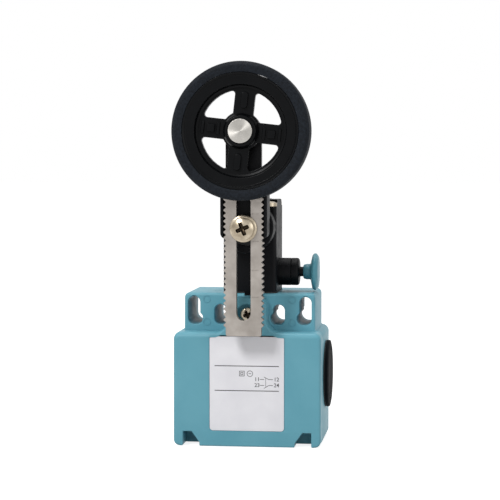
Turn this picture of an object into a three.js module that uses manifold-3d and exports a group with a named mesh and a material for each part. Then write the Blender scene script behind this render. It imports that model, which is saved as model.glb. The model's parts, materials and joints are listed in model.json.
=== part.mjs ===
// A compact limit switch with an adjustable roller lever and a pull-to-reset knob.
// Millimetres. X runs to the right, -Y points to the front, +Z points up.
// The origin is the centre of the bottom face of the housing base.

import * as THREE from 'three';
import { mergeVertices } from 'three/addons/utils/BufferGeometryUtils.js';
import Module from 'manifold-3d';

const wasm = await Module();
wasm.setup();

// ---------------------------------------------------------------------------
// Driving dimensions
// ---------------------------------------------------------------------------

// General fits
const runningGap = 0.3;        // between pieces that move on each other
const fixedGap = 0.1;          // between a round piece and the bore that holds it
const past = 1;                // how far a cutter runs past the face that it opens
const smoothSides = 40;        // facets of the large round pieces
const smallSides = 14;         // facets of the small round pieces

// Housing base and cover
const bodyWidth = 55;
const bodyDepth = 30;
const blockHeight = 42.5;      // the wide lower block, as tall as the cover
const flangeWidth = 49.3;      // the upper block with the mounting holes
const flangeHeight = 14;
const bodyCorner = 1.8;
const neckHalf = 7;            // half width of the flange's middle section
const wallLedge = 0.5;         // what the side walls' sections hold of the floor and roof
const coverDepth = 9;
const coverWall = 2.5;
const sideWall = 6.5;
const floorWall = 4;
const roofWall = 4.5;
const backWall = 3;
const chamberChamferRun = 6;   // the chamber's lower corners clear the cover's notches
const chamberChamferRise = 4.5;

// Cover tongue, its screw and the two notches at its foot
const tongueWidth = 14.6;
const tongueTop = 55.5;
const tongueFillet = 5;
const tongueCorner = 3.5;
const coverScrewHeight = 49.1;
const coverScrewRecessRadius = 4;
const coverScrewRecessDepth = 3;
const coverScrewHeadRadius = 2.6;
const coverScrewHeadHeight = 2;
const coverScrewDrive = { size: 1.5, width: 0.6, depth: 1 };
const coverScrewShankRadius = 1.35;
const insertOuterRadius = 2.4;
const insertLength = 6;
const notchInner = 17.8;
const notchShoulder = 20.7;
const notchOuter = 24;
const notchHeight = 5.4;
const notchLip = 1.3;

// Label
const labelWidth = 27.8;
const labelHeight = 35.3;
const labelBottom = 5.9;
const labelRecess = 0.4;
const labelThickness = 0.3;
const labelCorner = 1.2;

// Seals
const gasketOffset = 0.6;      // from the chamber's edge to the gasket
const gasketWidth = 1.2;
const gasketDepth = 1;
const headGasketThickness = 0.5;

// Mounting holes: a slot with a round hole beside its lower end
const outerHole = { x: 21, radius: 2.3, low: 47, high: 52.9, roundShift: 1 };
const innerHole = { x: 11, radius: 2.25, low: 47, high: 50, roundShift: 1 };
const mountingHoles = [outerHole, innerHole];
const nutPocketRadius = 3;
const nutPocketDepth = 10;
const nutPocketShift = 0.8;    // towards the middle, so the outer wall stays

// Cable entries and the plug in the right one
const entryHeight = 25;
const entryRadius = 9.5;
const plugFlangeRadius = 12.7;
const plugFlangeThickness = 1.5;
const plugWasherThickness = 0.5;
const plugShankLength = 6;
const plugWall = 1.8;
const plugSlotWidth = 2;
const plugSlotLength = 14;
const plugSlotDepth = 0.9;

// Head
const headWidth = 20;
const headFront = -14.4;
const headBack = 8;
const headHeight = 34.5;
const headCorner = 1.5;
const headBossRadius = 9.8;
const headBossFront = -22.5;
const headBayHalfWidth = 5.3;
const headScrewX = 7.2;
const headScrewInset = 2.9;    // from the head's front and rear faces
const headScrewRadius = 1.3;
const headScrewHeadRadius = 2.8;
const headScrewHeadHeight = 2;
const headScrewDrive = { size: 1.6, width: 0.7, depth: 1.1 };
const headScrewPocketDepth = 2.5;
const headScrewEngagement = 3;
const headKey = { left: -1.9, right: 5, depth: 1.9, drop: 1 };

// Lever shaft, cam and plunger
const shaftHeight = 81.5;
const shaftRadius = 4;
const shaftTailRadius = 2.5;
const shaftTailLength = 3;
const plungerY = -3;
const camRadius = 7;
const camFlat = 5;             // from the shaft axis to the cam's flat
const camWidth = 7;
const camBayFront = -9.2;
const camBayBack = 3;
const bushWall = 1.6;
const sealThickness = 2;
const sealWall = 2.6;
const plungerRadius = 2;
const plungerHeadRadius = 3.5;
const plungerHeadHeight = 2.1;
const plungerCollarRadius = 4.1;
const plungerCollarHeight = 1.6;
const plungerTravel = 2.5;
const passageRadius = 4.5;
const springShoulder = 44;     // height of the step that the plunger spring stands on
const plungerSpring = { radius: 3.2, wire: 0.45, turns: 5 };

// Lever carrier and clamp
const carrierHalfWidth = 8.6;
const carrierFlange = 1;
const carrierBack = -23.5;
const carrierBelow = 3.9;
const carrierAbove = 15;
const carrierCorner = 1.5;
const carrierLipDepth = 2.7;
const carrierFace = 1.5;       // plate between the shaft's end and the lever
const clampScrewRadius = 2.3;
const clampHeadRadius = 4;
const clampHeadHeight = 3;
const clampWasherRadius = 5;
const clampWasherThickness = 1;
const clampScrewDepth = 9;
const clampDrive = { size: 2.2, width: 0.9, depth: 1.5 };

// Lever bar
const leverBack = -30.5;
const leverThickness = 3;
const leverRootHalf = 6.55;
const toothHeight = 0.8;
const toothPitch = 2;
const toothCount = 25;
const leverBelow = 39.4;
const firstTooth = 36.4;       // below the shaft
const slotHalf = 2.6;
const slotBelow = 33.6;
const slotAbove = 12;

// Roller
const rollerHeight = 35.3;     // above the shaft
const rollerWidth = 10;
const rollerGap = 0.5;         // between the lever and the roller
const rollerRadius = 25;
const tyreInnerRadius = 21.1;
const tyreCrown = 0.7;
const rimInnerRadius = 16.5;
const rimInset = 0.6;
const hubBossRadius = 6.2;
const webInset = 3.6;          // from each side of the roller to the web
const windowInner = 7.1;
const windowOuter = 14.7;
const spokeWidth = 7.3;
const spokeTurn = 6.5;         // degrees
const axleRadius = 2.9;
const axleHeadRadius = 4.4;
const axleHeadThickness = 0.6;
const rivetWasherRadius = 4.5;
const rivetWasherThickness = 0.8;
const axleTail = 0.5;

// Reset knob
const resetHeight = 64;
const resetBossRadius = 5.2;
const resetBossEnd = 14.7;
const resetCapEnd = 17.7;
const resetChamberRadius = 4;
const resetBushShank = 3.7;
const resetRodRadius = 1.85;
const resetRodTip = 2.4;
const resetNoseRadius = 1.5;
const resetCollarRadius = 3.5;
const resetCollarThickness = 0.8;
const resetSpring = { radius: 2.95, wire: 0.35, turns: 4 };
const knobStart = 19.2;
const knobNeckRadius = 2.9;
const knobDiscStart = 21.75;
const knobBackRadius = 5.4;
const knobRadius = 6.94;
const knobEnd = 25.1;
const knobBevel = 0.8;
const knobFlare = 1;           // length over which the disc widens
const knobFace = 1.2;          // thickness left beyond the rod

// Contact block
const contactBlock = { half: 16, low: 6.5, high: 34, front: -8 };
const bay = { half: 9, low: 9, high: 31, back: 0.5 };
const lidThickness = 1.5;
const blockScrew = { x: 12.8, z: 20, radius: 1.2, headRadius: 2.4, headHeight: 1.6, depth: 2 };
const blockScrewDrive = { size: 1.4, width: 0.6, depth: 0.8 };
const slider = { halfX: 3, halfY: 3, low: 12, high: 30.5 };
const stemHalf = 1.8;
const stemLength = 5;
const contactSpring = { radius: 1.6, wire: 0.3, turns: 2 };
const lidOverlap = { side: 0.8, height: 1 };
const bridge = { halfX: 8.5, halfY: 2, thickness: 0.5, slotGap: 0.2 };
const ncLevel = 27;
const noLevel = 13;
const terminal = { inner: 5.2, outer: 15.6, thickness: 0.8, halfHeight: 2.7, seat: -4.2, armOffset: 1 };
const terminalBay = { halfHeight: 3.3, reach: 2 };
const terminalScrew = { x: 12.8, radius: 1.1, headRadius: 2.2, headHeight: 1.8, depth: 6 };
const terminalDrive = { size: 1.3, width: 0.6, depth: 0.9 };
const clampPlate = { halfSize: 2.5, thickness: 0.8 };

// ---------------------------------------------------------------------------
// Values that follow from the driving dimensions
// ---------------------------------------------------------------------------

const bodySide = bodyWidth / 2;
const bodyTop = blockHeight + flangeHeight;
const baseFront = -bodyDepth / 2;
const baseBack = bodyDepth / 2;
const coverFront = baseFront - coverDepth;
const chamberSide = bodySide - sideWall;
const chamberTop = blockHeight - roofWall;
const chamberBack = baseBack - backWall;
const headBottom = bodyTop + headGasketThickness;
const headTop = headBottom + headHeight;
const headSide = headWidth / 2;
const headScrewSeat = headTop - headScrewPocketDepth;
const headScrewYs = [headFront + headScrewInset, headBack - headScrewInset];
const bushFront = headBossFront + sealThickness;
const bushBack = headScrewYs[0] - headScrewRadius - runningGap;
const shaftBore = shaftRadius + runningGap;
const plungerTop = shaftHeight - camRadius - runningGap;
const plungerBottom = slider.high + stemLength;
const bushRadius = shaftBore + bushWall;
const sealRadius = shaftBore + sealWall;
const shaftEnd = leverBack + carrierFace;
const leverFront = leverBack - leverThickness;
const rollerBack = leverFront - rollerGap;
const rollerFront = rollerBack - rollerWidth;
const webFront = rollerFront + webInset;
const webBack = rollerBack - webInset;
const washerFront = leverFront - clampWasherThickness;
const coverScrewSeat = coverFront + coverScrewRecessDepth;

// ---------------------------------------------------------------------------
// Geometry helpers
// ---------------------------------------------------------------------------

// A closed three.js geometry as a solid.
function solidOf(geometry) {
  const bare = geometry.index ? geometry.toNonIndexed() : geometry.clone();
  bare.deleteAttribute('normal');
  bare.deleteAttribute('uv');
  const merged = mergeVertices(bare, 1e-4);
  return new wasm.Manifold(new wasm.Mesh({
    numProp: 3,
    vertProperties: merged.attributes.position.array,
    triVerts: new Uint32Array(merged.index.array),
  }));
}

// The solid's surface as a three.js geometry.
function geometryOf(solid) {
  const mesh = solid.getMesh();
  const geometry = new THREE.BufferGeometry();
  geometry.setAttribute('position', new THREE.BufferAttribute(mesh.vertProperties, 3));
  geometry.setIndex(new THREE.BufferAttribute(mesh.triVerts, 1));
  geometry.computeVertexNormals();
  return geometry;
}

// All the first shapes joined, less all the second ones.
function carve(joined, removed = []) {
  let solid = solidOf(joined[0]);
  joined.slice(1).forEach((shape) => {
    solid = solid.add(solidOf(shape));
  });
  removed.forEach((shape) => {
    solid = solid.subtract(solidOf(shape));
  });
  return geometryOf(solid);
}

function box([x0, x1], [y0, y1], [z0, z1]) {
  const geometry = new THREE.BoxGeometry(Math.abs(x1 - x0), Math.abs(y1 - y0), Math.abs(z1 - z0));
  return geometry.translate((x0 + x1) / 2, (y0 + y1) / 2, (z0 + z1) / 2);
}

// Round bars along each axis, from one end to the other.
function rodX(radius, from, to, y = 0, z = 0, sides = smallSides) {
  const geometry = new THREE.CylinderGeometry(radius, radius, Math.abs(to - from), sides);
  return geometry.rotateZ(Math.PI / 2).translate((from + to) / 2, y, z);
}

function rodY(radius, from, to, x = 0, z = 0, sides = smallSides) {
  const geometry = new THREE.CylinderGeometry(radius, radius, Math.abs(to - from), sides);
  return geometry.translate(x, (from + to) / 2, z);
}

function rodZ(radius, from, to, x = 0, y = 0, sides = smallSides) {
  const geometry = new THREE.CylinderGeometry(radius, radius, Math.abs(to - from), sides);
  return geometry.rotateX(Math.PI / 2).translate(x, y, (from + to) / 2);
}

// A closed outline through [x, z, corner radius] points, its corners rounded.
function roundedOutline(corners) {
  const points = corners.map(([x, z]) => new THREE.Vector2(x, z));
  const shape = new THREE.Shape();
  corners.forEach(([, , radius = 0], i) => {
    const here = points[i];
    const before = points[(i + points.length - 1) % points.length];
    const after = points[(i + 1) % points.length];
    const half = before.clone().sub(here).angleTo(after.clone().sub(here)) / 2;
    const reach = radius > 0 ? radius / Math.tan(half) : 0;
    const start = here.clone().add(before.clone().sub(here).setLength(reach));
    const end = here.clone().add(after.clone().sub(here).setLength(reach));
    if (i === 0) shape.moveTo(start.x, start.y);
    else shape.lineTo(start.x, start.y);
    if (reach > 0) shape.quadraticCurveTo(here.x, here.y, end.x, end.y);
  });
  shape.closePath();
  return shape;
}

function roundedRectangle(x0, x1, z0, z1, radius) {
  return roundedOutline([[x0, z0, radius], [x1, z0, radius], [x1, z1, radius], [x0, z1, radius]]);
}

// An upright slot: two half circles joined by straight sides.
function slotOutline(x, low, high, radius) {
  const shape = new THREE.Shape();
  shape.absarc(x, high, radius, 0, Math.PI, false);
  shape.absarc(x, low, radius, Math.PI, 2 * Math.PI, false);
  shape.closePath();
  return shape;
}

// An outline in X and Z carried along Y.
function plate(shape, front, back, curveSegments = 6) {
  const settings = { depth: back - front, bevelEnabled: false, curveSegments };
  return new THREE.ExtrudeGeometry(shape, settings).rotateX(Math.PI / 2).translate(0, back, 0);
}

// An outline in X and Y carried along Z.
function slab(shape, low, high, curveSegments = 6) {
  const settings = { depth: high - low, bevelEnabled: false, curveSegments };
  return new THREE.ExtrudeGeometry(shape, settings).translate(0, 0, low);
}

// [radius, position] points turned about the Y axis. The profile runs from the axis to the axis,
// or is closed here when it stays clear of the axis.
function turned(profile, sides = smoothSides) {
  const onAxis = profile[0][0] === 0;
  const loop = onAxis ? profile : [...profile, profile[0]];
  const points = loop.map(([radius, along]) => new THREE.Vector2(radius, along));
  const area = THREE.ShapeUtils.area(points);
  if (area < 0) points.reverse();
  return new THREE.LatheGeometry(points, sides);
}

function turnedX(profile, sides = smallSides) {
  return turned(profile, sides).rotateZ(-Math.PI / 2);
}

function turnedZ(profile, sides = smallSides) {
  return turned(profile, sides).rotateX(Math.PI / 2);
}

// A round ring along Y.
function ringY(outer, inner, from, to, sides = smallSides) {
  return turned([[inner, from], [outer, from], [outer, to], [inner, to]], sides);
}

class Helix extends THREE.Curve {
  constructor(radius, length, turns) {
    super();
    Object.assign(this, { radius, length, turns });
  }

  getPoint(t, target = new THREE.Vector3()) {
    const angle = 2 * Math.PI * this.turns * t;
    return target.set(this.radius * Math.cos(angle), this.radius * Math.sin(angle), this.length * t);
  }
}

// A compression spring of round wire standing on z = 0, ends included in its length.
function coilSpring({ radius: meanRadius, wire: wireRadius, turns }, length) {
  const wire = new THREE.Shape();
  wire.absarc(0, 0, wireRadius, 0, 2 * Math.PI, false);
  const path = new Helix(meanRadius, length - 2 * wireRadius, turns);
  const settings = { steps: turns * 12, curveSegments: 3, extrudePath: path };
  return new THREE.ExtrudeGeometry(wire, settings).translate(0, 0, wireRadius);
}

// ---------------------------------------------------------------------------
// Finishes
// ---------------------------------------------------------------------------

function finish(color, roughness, metalness) {
  return new THREE.MeshStandardMaterial({ color, roughness, metalness });
}

const paint = () => finish(0x6aa0af, 0.45, 0.1);
const blackPlastic = () => finish(0x1e1f22, 0.5, 0);
const blackPaint = () => finish(0x26282c, 0.5, 0.2);
const rubber = () => finish(0x1b1e22, 0.8, 0);
const steel = () => finish(0xb4aea8, 0.35, 0.9);
const nickel = () => finish(0xc9c4b8, 0.3, 0.9);
const brass = () => finish(0xc9a85a, 0.35, 0.9);
const palePlastic = () => finish(0xd8d6cc, 0.5, 0);
const labelFilm = () => finish(0xdfdee3, 0.5, 0);
const silver = () => finish(0xd9d9d4, 0.3, 0.9);

// The groups stand for the bodies that move together.
const limitSwitch = new THREE.Group();
const swingArm = new THREE.Group();
const leverArm = new THREE.Group();
const roller = new THREE.Group();
swingArm.position.z = shaftHeight;
roller.position.z = rollerHeight;
limitSwitch.add(swingArm);
swingArm.add(leverArm);
leverArm.add(roller);

function addPiece(name, geometry, material, group = limitSwitch) {
  const mesh = new THREE.Mesh(geometry, material);
  mesh.name = name;
  group.add(mesh);
  return mesh;
}

// ---------------------------------------------------------------------------
// Housing base
// ---------------------------------------------------------------------------

// The wiring chamber's outline in X and Z, grown outwards by a margin.
function chamberOutline(margin = 0) {
  const slant = Math.hypot(chamberChamferRun, chamberChamferRise);
  const side = chamberSide + margin;
  const low = floorWall - margin;
  const rise = floorWall + chamberChamferRise - margin * (slant - chamberChamferRise) / chamberChamferRun;
  const run = chamberSide - chamberChamferRun + margin * (slant - chamberChamferRun) / chamberChamferRise;
  const high = chamberTop + margin;
  return roundedOutline([[run, low], [side, rise], [side, high], [-side, high], [-side, rise], [-run, low]]);
}

function bodyOutline() {
  const flangeSide = flangeWidth / 2;
  return roundedOutline([
    [-bodySide, 0, bodyCorner], [bodySide, 0, bodyCorner], [bodySide, blockHeight, bodyCorner],
    [flangeSide, blockHeight, 0], [flangeSide, bodyTop, bodyCorner],
    [-flangeSide, bodyTop, bodyCorner], [-flangeSide, blockHeight, 0],
    [-bodySide, blockHeight, bodyCorner],
  ]);
}

function mountingHoleCutters() {
  const cutters = [];
  [-1, 1].forEach((side) => {
    mountingHoles.forEach(({ x, radius, low, high, roundShift }) => {
      const pocketX = side * (x - nutPocketShift);
      const slot = slotOutline(side * x, low, high, radius);
      const pocket = slotOutline(pocketX, low, high, nutPocketRadius);
      cutters.push(plate(slot, baseFront - past, baseBack + past));
      cutters.push(rodY(radius, baseFront - past, baseBack + past, side * (x - roundShift), low));
      cutters.push(plate(pocket, baseBack - nutPocketDepth, baseBack + past));
    });
  });
  return cutters;
}

function gasketGroove() {
  const outer = chamberOutline(gasketOffset + gasketWidth);
  outer.holes.push(chamberOutline(gasketOffset));
  return outer;
}

function makeCasting() {
  const insertRadius = insertOuterRadius + fixedGap;
  const threadRadius = headScrewRadius + fixedGap;
  const keyTop = bodyTop + past;
  const cutters = [
    plate(chamberOutline(), baseFront - past, chamberBack),
    rodX(entryRadius, -bodySide - past, bodySide + past, 0, entryHeight, smoothSides),
    rodZ(passageRadius, springShoulder, bodyTop + past, 0, plungerY),
    rodZ(plungerRadius + runningGap, chamberTop - past, springShoulder + past, 0, plungerY),
    rodY(insertRadius, baseFront - past, baseFront + insertLength, 0, coverScrewHeight),
    plate(gasketGroove(), baseFront - past, baseFront + gasketDepth),
    box([headKey.left - fixedGap, headKey.right + fixedGap], [baseFront - past, headFront + headKey.depth
      + fixedGap], [headBottom - headGasketThickness - headKey.drop, keyTop]),
    ...mountingHoleCutters(),
  ];
  [-1, 1].forEach((side) => {
    headScrewYs.forEach((y) => {
      cutters.push(rodZ(threadRadius, bodyTop - headScrewEngagement, bodyTop + past, side * headScrewX, y));
    });
    const screwEnd = chamberBack + blockScrew.depth;
    cutters.push(rodY(blockScrew.radius + fixedGap, chamberBack - past, screwEnd, side * blockScrew.x,
      blockScrew.z));
  });
  return carve([plate(bodyOutline(), baseFront, baseBack)], cutters);
}

// The casting is kept as sections that meet face to face, each with one hole or one wall,
// so that anything that touches a hole meets its true walls. Each is [x, y, z] ranges.
function baseSections() {
  const depth = [baseFront - past, baseBack + past];
  const wallCut = chamberSide - wallLedge;
  const lugCut = (outerHole.x + innerHole.x) / 2;
  const side = bodySide + past;
  const block = [-past, blockHeight];
  const flange = [blockHeight, bodyTop + past];
  return {
    left_wall: [[-side, -wallCut], depth, block],
    right_wall: [[wallCut, side], depth, block],
    middle: [[-wallCut, wallCut], depth, block],
    neck: [[-neckHalf, neckHalf], depth, flange],
    left_outer_lug: [[-side, -lugCut], depth, flange],
    left_inner_lug: [[-lugCut, -neckHalf], depth, flange],
    right_inner_lug: [[neckHalf, lugCut], depth, flange],
    right_outer_lug: [[lugCut, side], depth, flange],
  };
}

const casting = solidOf(makeCasting());
Object.entries(baseSections()).forEach(([name, region]) => {
  const section = casting.intersect(solidOf(box(...region)));
  addPiece(`base_${name}`, geometryOf(section), paint());
});

// ---------------------------------------------------------------------------
// Front cover, its gasket, screw, insert and label
// ---------------------------------------------------------------------------

function coverOutline() {
  const tongueSide = tongueWidth / 2;
  return roundedOutline([
    [-bodySide, 0, bodyCorner], [bodySide, 0, bodyCorner], [bodySide, blockHeight, bodyCorner],
    [tongueSide, blockHeight, tongueFillet], [tongueSide, tongueTop, tongueCorner],
    [-tongueSide, tongueTop, tongueCorner], [-tongueSide, blockHeight, tongueFillet],
    [-bodySide, blockHeight, bodyCorner],
  ]);
}

function notchOutline(side) {
  return roundedOutline([
    [side * notchInner, -past], [side * notchOuter, -past], [side * notchOuter, notchHeight],
    [side * notchShoulder, notchHeight], [side * notchInner, notchLip],
  ]);
}

function makeFrontCover() {
  const labelLeft = -labelWidth / 2 - fixedGap;
  const labelTop = labelBottom + labelHeight + fixedGap;
  const recess = roundedRectangle(labelLeft, -labelLeft, labelBottom - fixedGap, labelTop, labelCorner);
  return carve([plate(coverOutline(), coverFront, baseFront)], [
    plate(chamberOutline(), coverFront + coverWall, baseFront + past),
    plate(notchOutline(-1), coverFront - past, baseFront + past),
    plate(notchOutline(1), coverFront - past, baseFront + past),
    plate(recess, coverFront - past, coverFront + labelRecess),
    rodY(coverScrewRecessRadius, coverFront - past, coverScrewSeat, 0, coverScrewHeight),
    rodY(coverScrewShankRadius + runningGap, coverFront, baseFront + past, 0, coverScrewHeight),
  ]);
}

function makeNameplate() {
  const half = labelWidth / 2;
  const outline = roundedRectangle(-half, half, labelBottom, labelBottom + labelHeight, labelCorner);
  const back = coverFront + labelRecess;
  return plate(outline, back - labelThickness, back);
}

// A cross-shaped drive recess, cut into a head whose face is at the given Y.
function crossDrive(face, { depth, size, width }, x = 0, z = 0) {
  const half = width / 2;
  return [
    box([x - size, x + size], [face - past, face + depth], [z - half, z + half]),
    box([x - half, x + half], [face - past, face + depth], [z - size, z + size]),
  ];
}

function makeCoverScrew() {
  const face = coverScrewSeat - coverScrewHeadHeight;
  const tip = baseFront + insertLength - runningGap;
  return carve([
    rodY(coverScrewHeadRadius, face, coverScrewSeat, 0, coverScrewHeight),
    rodY(coverScrewShankRadius, coverScrewSeat - fixedGap, tip, 0, coverScrewHeight),
  ], crossDrive(face, coverScrewDrive, 0, coverScrewHeight));
}

function makeCoverScrewInsert() {
  const bore = coverScrewShankRadius + runningGap;
  const ring = ringY(insertOuterRadius, bore, baseFront, baseFront + insertLength);
  return ring.translate(0, 0, coverScrewHeight);
}

addPiece('front_cover', makeFrontCover(), paint());
addPiece('cover_gasket', plate(gasketGroove(), baseFront, baseFront + gasketDepth), rubber());
addPiece('cover_screw', makeCoverScrew(), nickel());
addPiece('cover_screw_insert', makeCoverScrewInsert(), brass());
addPiece('nameplate', makeNameplate(), labelFilm());

// ---------------------------------------------------------------------------
// Plug in the right cable entry
// ---------------------------------------------------------------------------

function makeConduitPlug() {
  const flangeStart = bodySide + plugWasherThickness;
  const flangeEnd = flangeStart + plugFlangeThickness;
  const shankRadius = entryRadius - runningGap;
  const tip = bodySide - plugShankLength;
  const halfSlot = plugSlotWidth / 2;
  const halfLength = plugSlotLength / 2;
  return carve([
    rodX(plugFlangeRadius, flangeStart, flangeEnd, 0, 0, smoothSides),
    rodX(shankRadius, tip, flangeStart + fixedGap, 0, 0, smoothSides),
  ], [
    rodX(shankRadius - plugWall, tip - past, flangeStart - past, 0, 0, smoothSides),
    box([flangeEnd - plugSlotDepth, flangeEnd + past], [-halfSlot, halfSlot], [-halfLength, halfLength]),
  ]);
}

function makePlugWasher() {
  const profile = [
    [entryRadius, bodySide], [plugFlangeRadius - fixedGap, bodySide],
    [plugFlangeRadius - fixedGap, bodySide + plugWasherThickness],
    [entryRadius, bodySide + plugWasherThickness],
  ];
  return turnedX(profile, smoothSides);
}

addPiece('conduit_plug', makeConduitPlug(), blackPlastic()).position.z = entryHeight;
addPiece('conduit_plug_washer', makePlugWasher(), rubber()).position.z = entryHeight;

// ---------------------------------------------------------------------------
// Head
// ---------------------------------------------------------------------------

function headPlan() {
  return roundedRectangle(-headSide, headSide, headFront, headBack, headCorner);
}

// Each screw's counterbore, opened to the head's corner.
function screwPocket(x, y) {
  const outX = Math.sign(x) * (headSide + past);
  const outY = y < 0 ? headFront - past : headBack + past;
  const radius = headScrewHeadRadius + fixedGap;
  return [
    rodZ(radius, headScrewSeat, headTop + past, x, y),
    box([x, outX], [y, outY], [headScrewSeat, headTop + past]),
    rodZ(headScrewRadius + runningGap, headBottom - past, headScrewSeat + past, x, y),
  ];
}

function headBay(low, high) {
  const half = headBayHalfWidth;
  return box([-half, half], [plungerY - half, plungerY + half], [low, high]);
}

function makeHeadShell() {
  const camSpace = camRadius + 2 * runningGap;
  const bushBore = bushRadius + fixedGap;
  const keyBack = headFront + headKey.depth;
  const keyBottom = headBottom - headGasketThickness - headKey.drop + fixedGap;
  const pockets = [-1, 1].flatMap((side) => headScrewYs.flatMap((y) => screwPocket(side * headScrewX, y)));
  return carve([
    slab(headPlan(), headBottom, headTop),
    rodY(headBossRadius, headBossFront, headFront + past, 0, shaftHeight, smoothSides),
    rodX(resetBossRadius, headSide - past, resetBossEnd, plungerY, resetHeight),
    box([headKey.left, headKey.right], [headFront, keyBack], [keyBottom, headBottom + past]),
  ], [
    headBay(headBottom - past, shaftHeight - camFlat),
    rodY(camSpace, camBayFront, camBayBack, 0, shaftHeight, smoothSides),
    rodY(bushBore, headBossFront - past, bushBack, 0, shaftHeight),
    rodY(shaftBore, bushBack - past, camBayFront + past, 0, shaftHeight),
    rodY(sealRadius + fixedGap, headBossFront - past, headBossFront + sealThickness, 0, shaftHeight),
    rodY(shaftTailRadius + runningGap, camBayBack - past, camBayBack + shaftTailLength + runningGap, 0,
      shaftHeight),
    rodX(resetChamberRadius, headBayHalfWidth - past, resetBossEnd + past, plungerY, resetHeight),
    ...pockets,
  ]);
}

function makeHeadGasket() {
  const holes = [-1, 1].flatMap((side) => headScrewYs.map(
    (y) => rodZ(headScrewRadius + runningGap, bodyTop - past, headBottom + past, side * headScrewX, y),
  ));
  const keyCut = box([headKey.left - fixedGap, headKey.right + fixedGap],
    [headFront - past, headFront + headKey.depth + fixedGap], [bodyTop - past, headBottom + past]);
  return carve([slab(headPlan(), bodyTop, headBottom)],
    [headBay(bodyTop - past, headBottom + past), keyCut, ...holes]);
}

function makeHeadScrew() {
  const top = headScrewSeat + headScrewHeadHeight;
  const tip = bodyTop - headScrewEngagement + runningGap;
  const { size, width, depth } = headScrewDrive;
  return carve([
    rodZ(headScrewHeadRadius, headScrewSeat, top),
    rodZ(headScrewRadius, tip, headScrewSeat + fixedGap),
  ], [
    box([-size, size], [-width / 2, width / 2], [top - depth, top + past]),
    box([-width / 2, width / 2], [-size, size], [top - depth, top + past]),
  ]);
}

addPiece('head_shell', makeHeadShell(), blackPaint());
addPiece('head_gasket', makeHeadGasket(), rubber());
[[-1, 0], [1, 0], [1, 1], [-1, 1]].forEach(([side, row], i) => {
  const screw = addPiece(`head_screw_${i + 1}`, makeHeadScrew(), nickel());
  screw.position.set(side * headScrewX, headScrewYs[row], 0);
});

// ---------------------------------------------------------------------------
// Shaft bearing and seal
// ---------------------------------------------------------------------------

addPiece('shaft_bush', ringY(bushRadius, shaftBore, bushFront, bushBack), brass())
  .position.z = shaftHeight;
addPiece('shaft_seal', ringY(sealRadius, shaftBore, headBossFront, bushFront), rubber())
  .position.z = shaftHeight;

// ---------------------------------------------------------------------------
// Swinging pieces: shaft, cam, carrier and clamp. Their group's origin is the shaft axis.
// ---------------------------------------------------------------------------

function makeShaft() {
  const threadEnd = shaftEnd + clampScrewDepth;
  const threadRadius = clampScrewRadius + runningGap;
  const tailEnd = camBayBack + shaftTailLength;
  return turned([
    [0, threadEnd], [threadRadius, threadEnd], [threadRadius, shaftEnd], [shaftRadius, shaftEnd],
    [shaftRadius, camBayBack - runningGap], [shaftTailRadius, camBayBack - runningGap],
    [shaftTailRadius, tailEnd], [0, tailEnd],
  ], smallSides);
}

function makeCam() {
  const front = plungerY - camWidth / 2;
  const back = plungerY + camWidth / 2;
  return carve([rodY(camRadius, front, back, 0, 0, smoothSides)], [
    rodY(shaftRadius + fixedGap, front - past, back + past),
    box([-camRadius, camRadius], [front - past, back + past], [-camRadius - past, -camFlat]),
  ]);
}

function makeCarrier() {
  const half = carrierHalfWidth;
  const lipFront = leverBack - carrierLipDepth;
  const outline = roundedOutline([
    [-half, -carrierBelow, carrierCorner], [half, -carrierBelow, carrierCorner],
    [half, carrierAbove, carrierCorner], [-half, carrierAbove, carrierCorner],
  ]);
  const channel = half - carrierFlange;
  return carve([plate(outline, lipFront, carrierBack)], [
    box([-channel, channel], [lipFront - past, leverBack], [-carrierBelow - past, carrierAbove + past]),
    rodY(shaftRadius + fixedGap, shaftEnd - fixedGap, carrierBack + past),
    rodY(clampScrewRadius + runningGap, leverBack - past, shaftEnd + past),
  ]);
}

function makeClampScrew() {
  const face = washerFront - clampHeadHeight;
  const tip = shaftEnd + clampScrewDepth - runningGap;
  return carve([
    rodY(clampHeadRadius, face, washerFront),
    rodY(clampScrewRadius, washerFront - fixedGap, tip),
  ], crossDrive(face, clampDrive));
}

addPiece('rotary_shaft', makeShaft(), steel(), swingArm);
addPiece('cam', makeCam(), palePlastic(), swingArm);
addPiece('lever_carrier', makeCarrier(), blackPaint(), swingArm);
addPiece('clamp_screw', makeClampScrew(), nickel(), swingArm);
addPiece('clamp_washer', ringY(clampWasherRadius, clampScrewRadius + runningGap, washerFront, leverFront),
  nickel(), swingArm);

// ---------------------------------------------------------------------------
// Lever bar
// ---------------------------------------------------------------------------

// The teeth of one edge as [distance out, height] points, from the lowest tooth upwards.
function toothPoints() {
  const quarter = toothPitch / 4;
  return Array.from({ length: toothCount }, (_, i) => i * toothPitch - firstTooth).flatMap((start) => [
    [leverRootHalf, start], [leverRootHalf + toothHeight, start + quarter],
    [leverRootHalf + toothHeight, start + 2 * quarter], [leverRootHalf, start + 3 * quarter],
  ]);
}

function makeLeverBar() {
  const outline = new THREE.Shape();
  const teeth = toothPoints();
  outline.moveTo(-leverRootHalf, -leverBelow);
  outline.lineTo(leverRootHalf, -leverBelow);
  teeth.forEach(([out, z]) => outline.lineTo(out, z));
  outline.absarc(0, rollerHeight, leverRootHalf, 0, Math.PI, false);
  teeth.slice().reverse().forEach(([out, z]) => outline.lineTo(-out, z));
  outline.closePath();
  outline.holes.push(slotOutline(0, slotHalf - slotBelow, slotAbove - slotHalf, slotHalf));
  const axleHole = new THREE.Path();
  axleHole.absarc(0, rollerHeight, axleRadius + fixedGap, 0, 2 * Math.PI, true);
  outline.holes.push(axleHole);
  return plate(outline, leverFront, leverBack, 12);
}

addPiece('lever_bar', makeLeverBar(), steel(), leverArm);

// ---------------------------------------------------------------------------
// Roller and its pin. The roller group's origin is the pin's axis.
// ---------------------------------------------------------------------------

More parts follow.
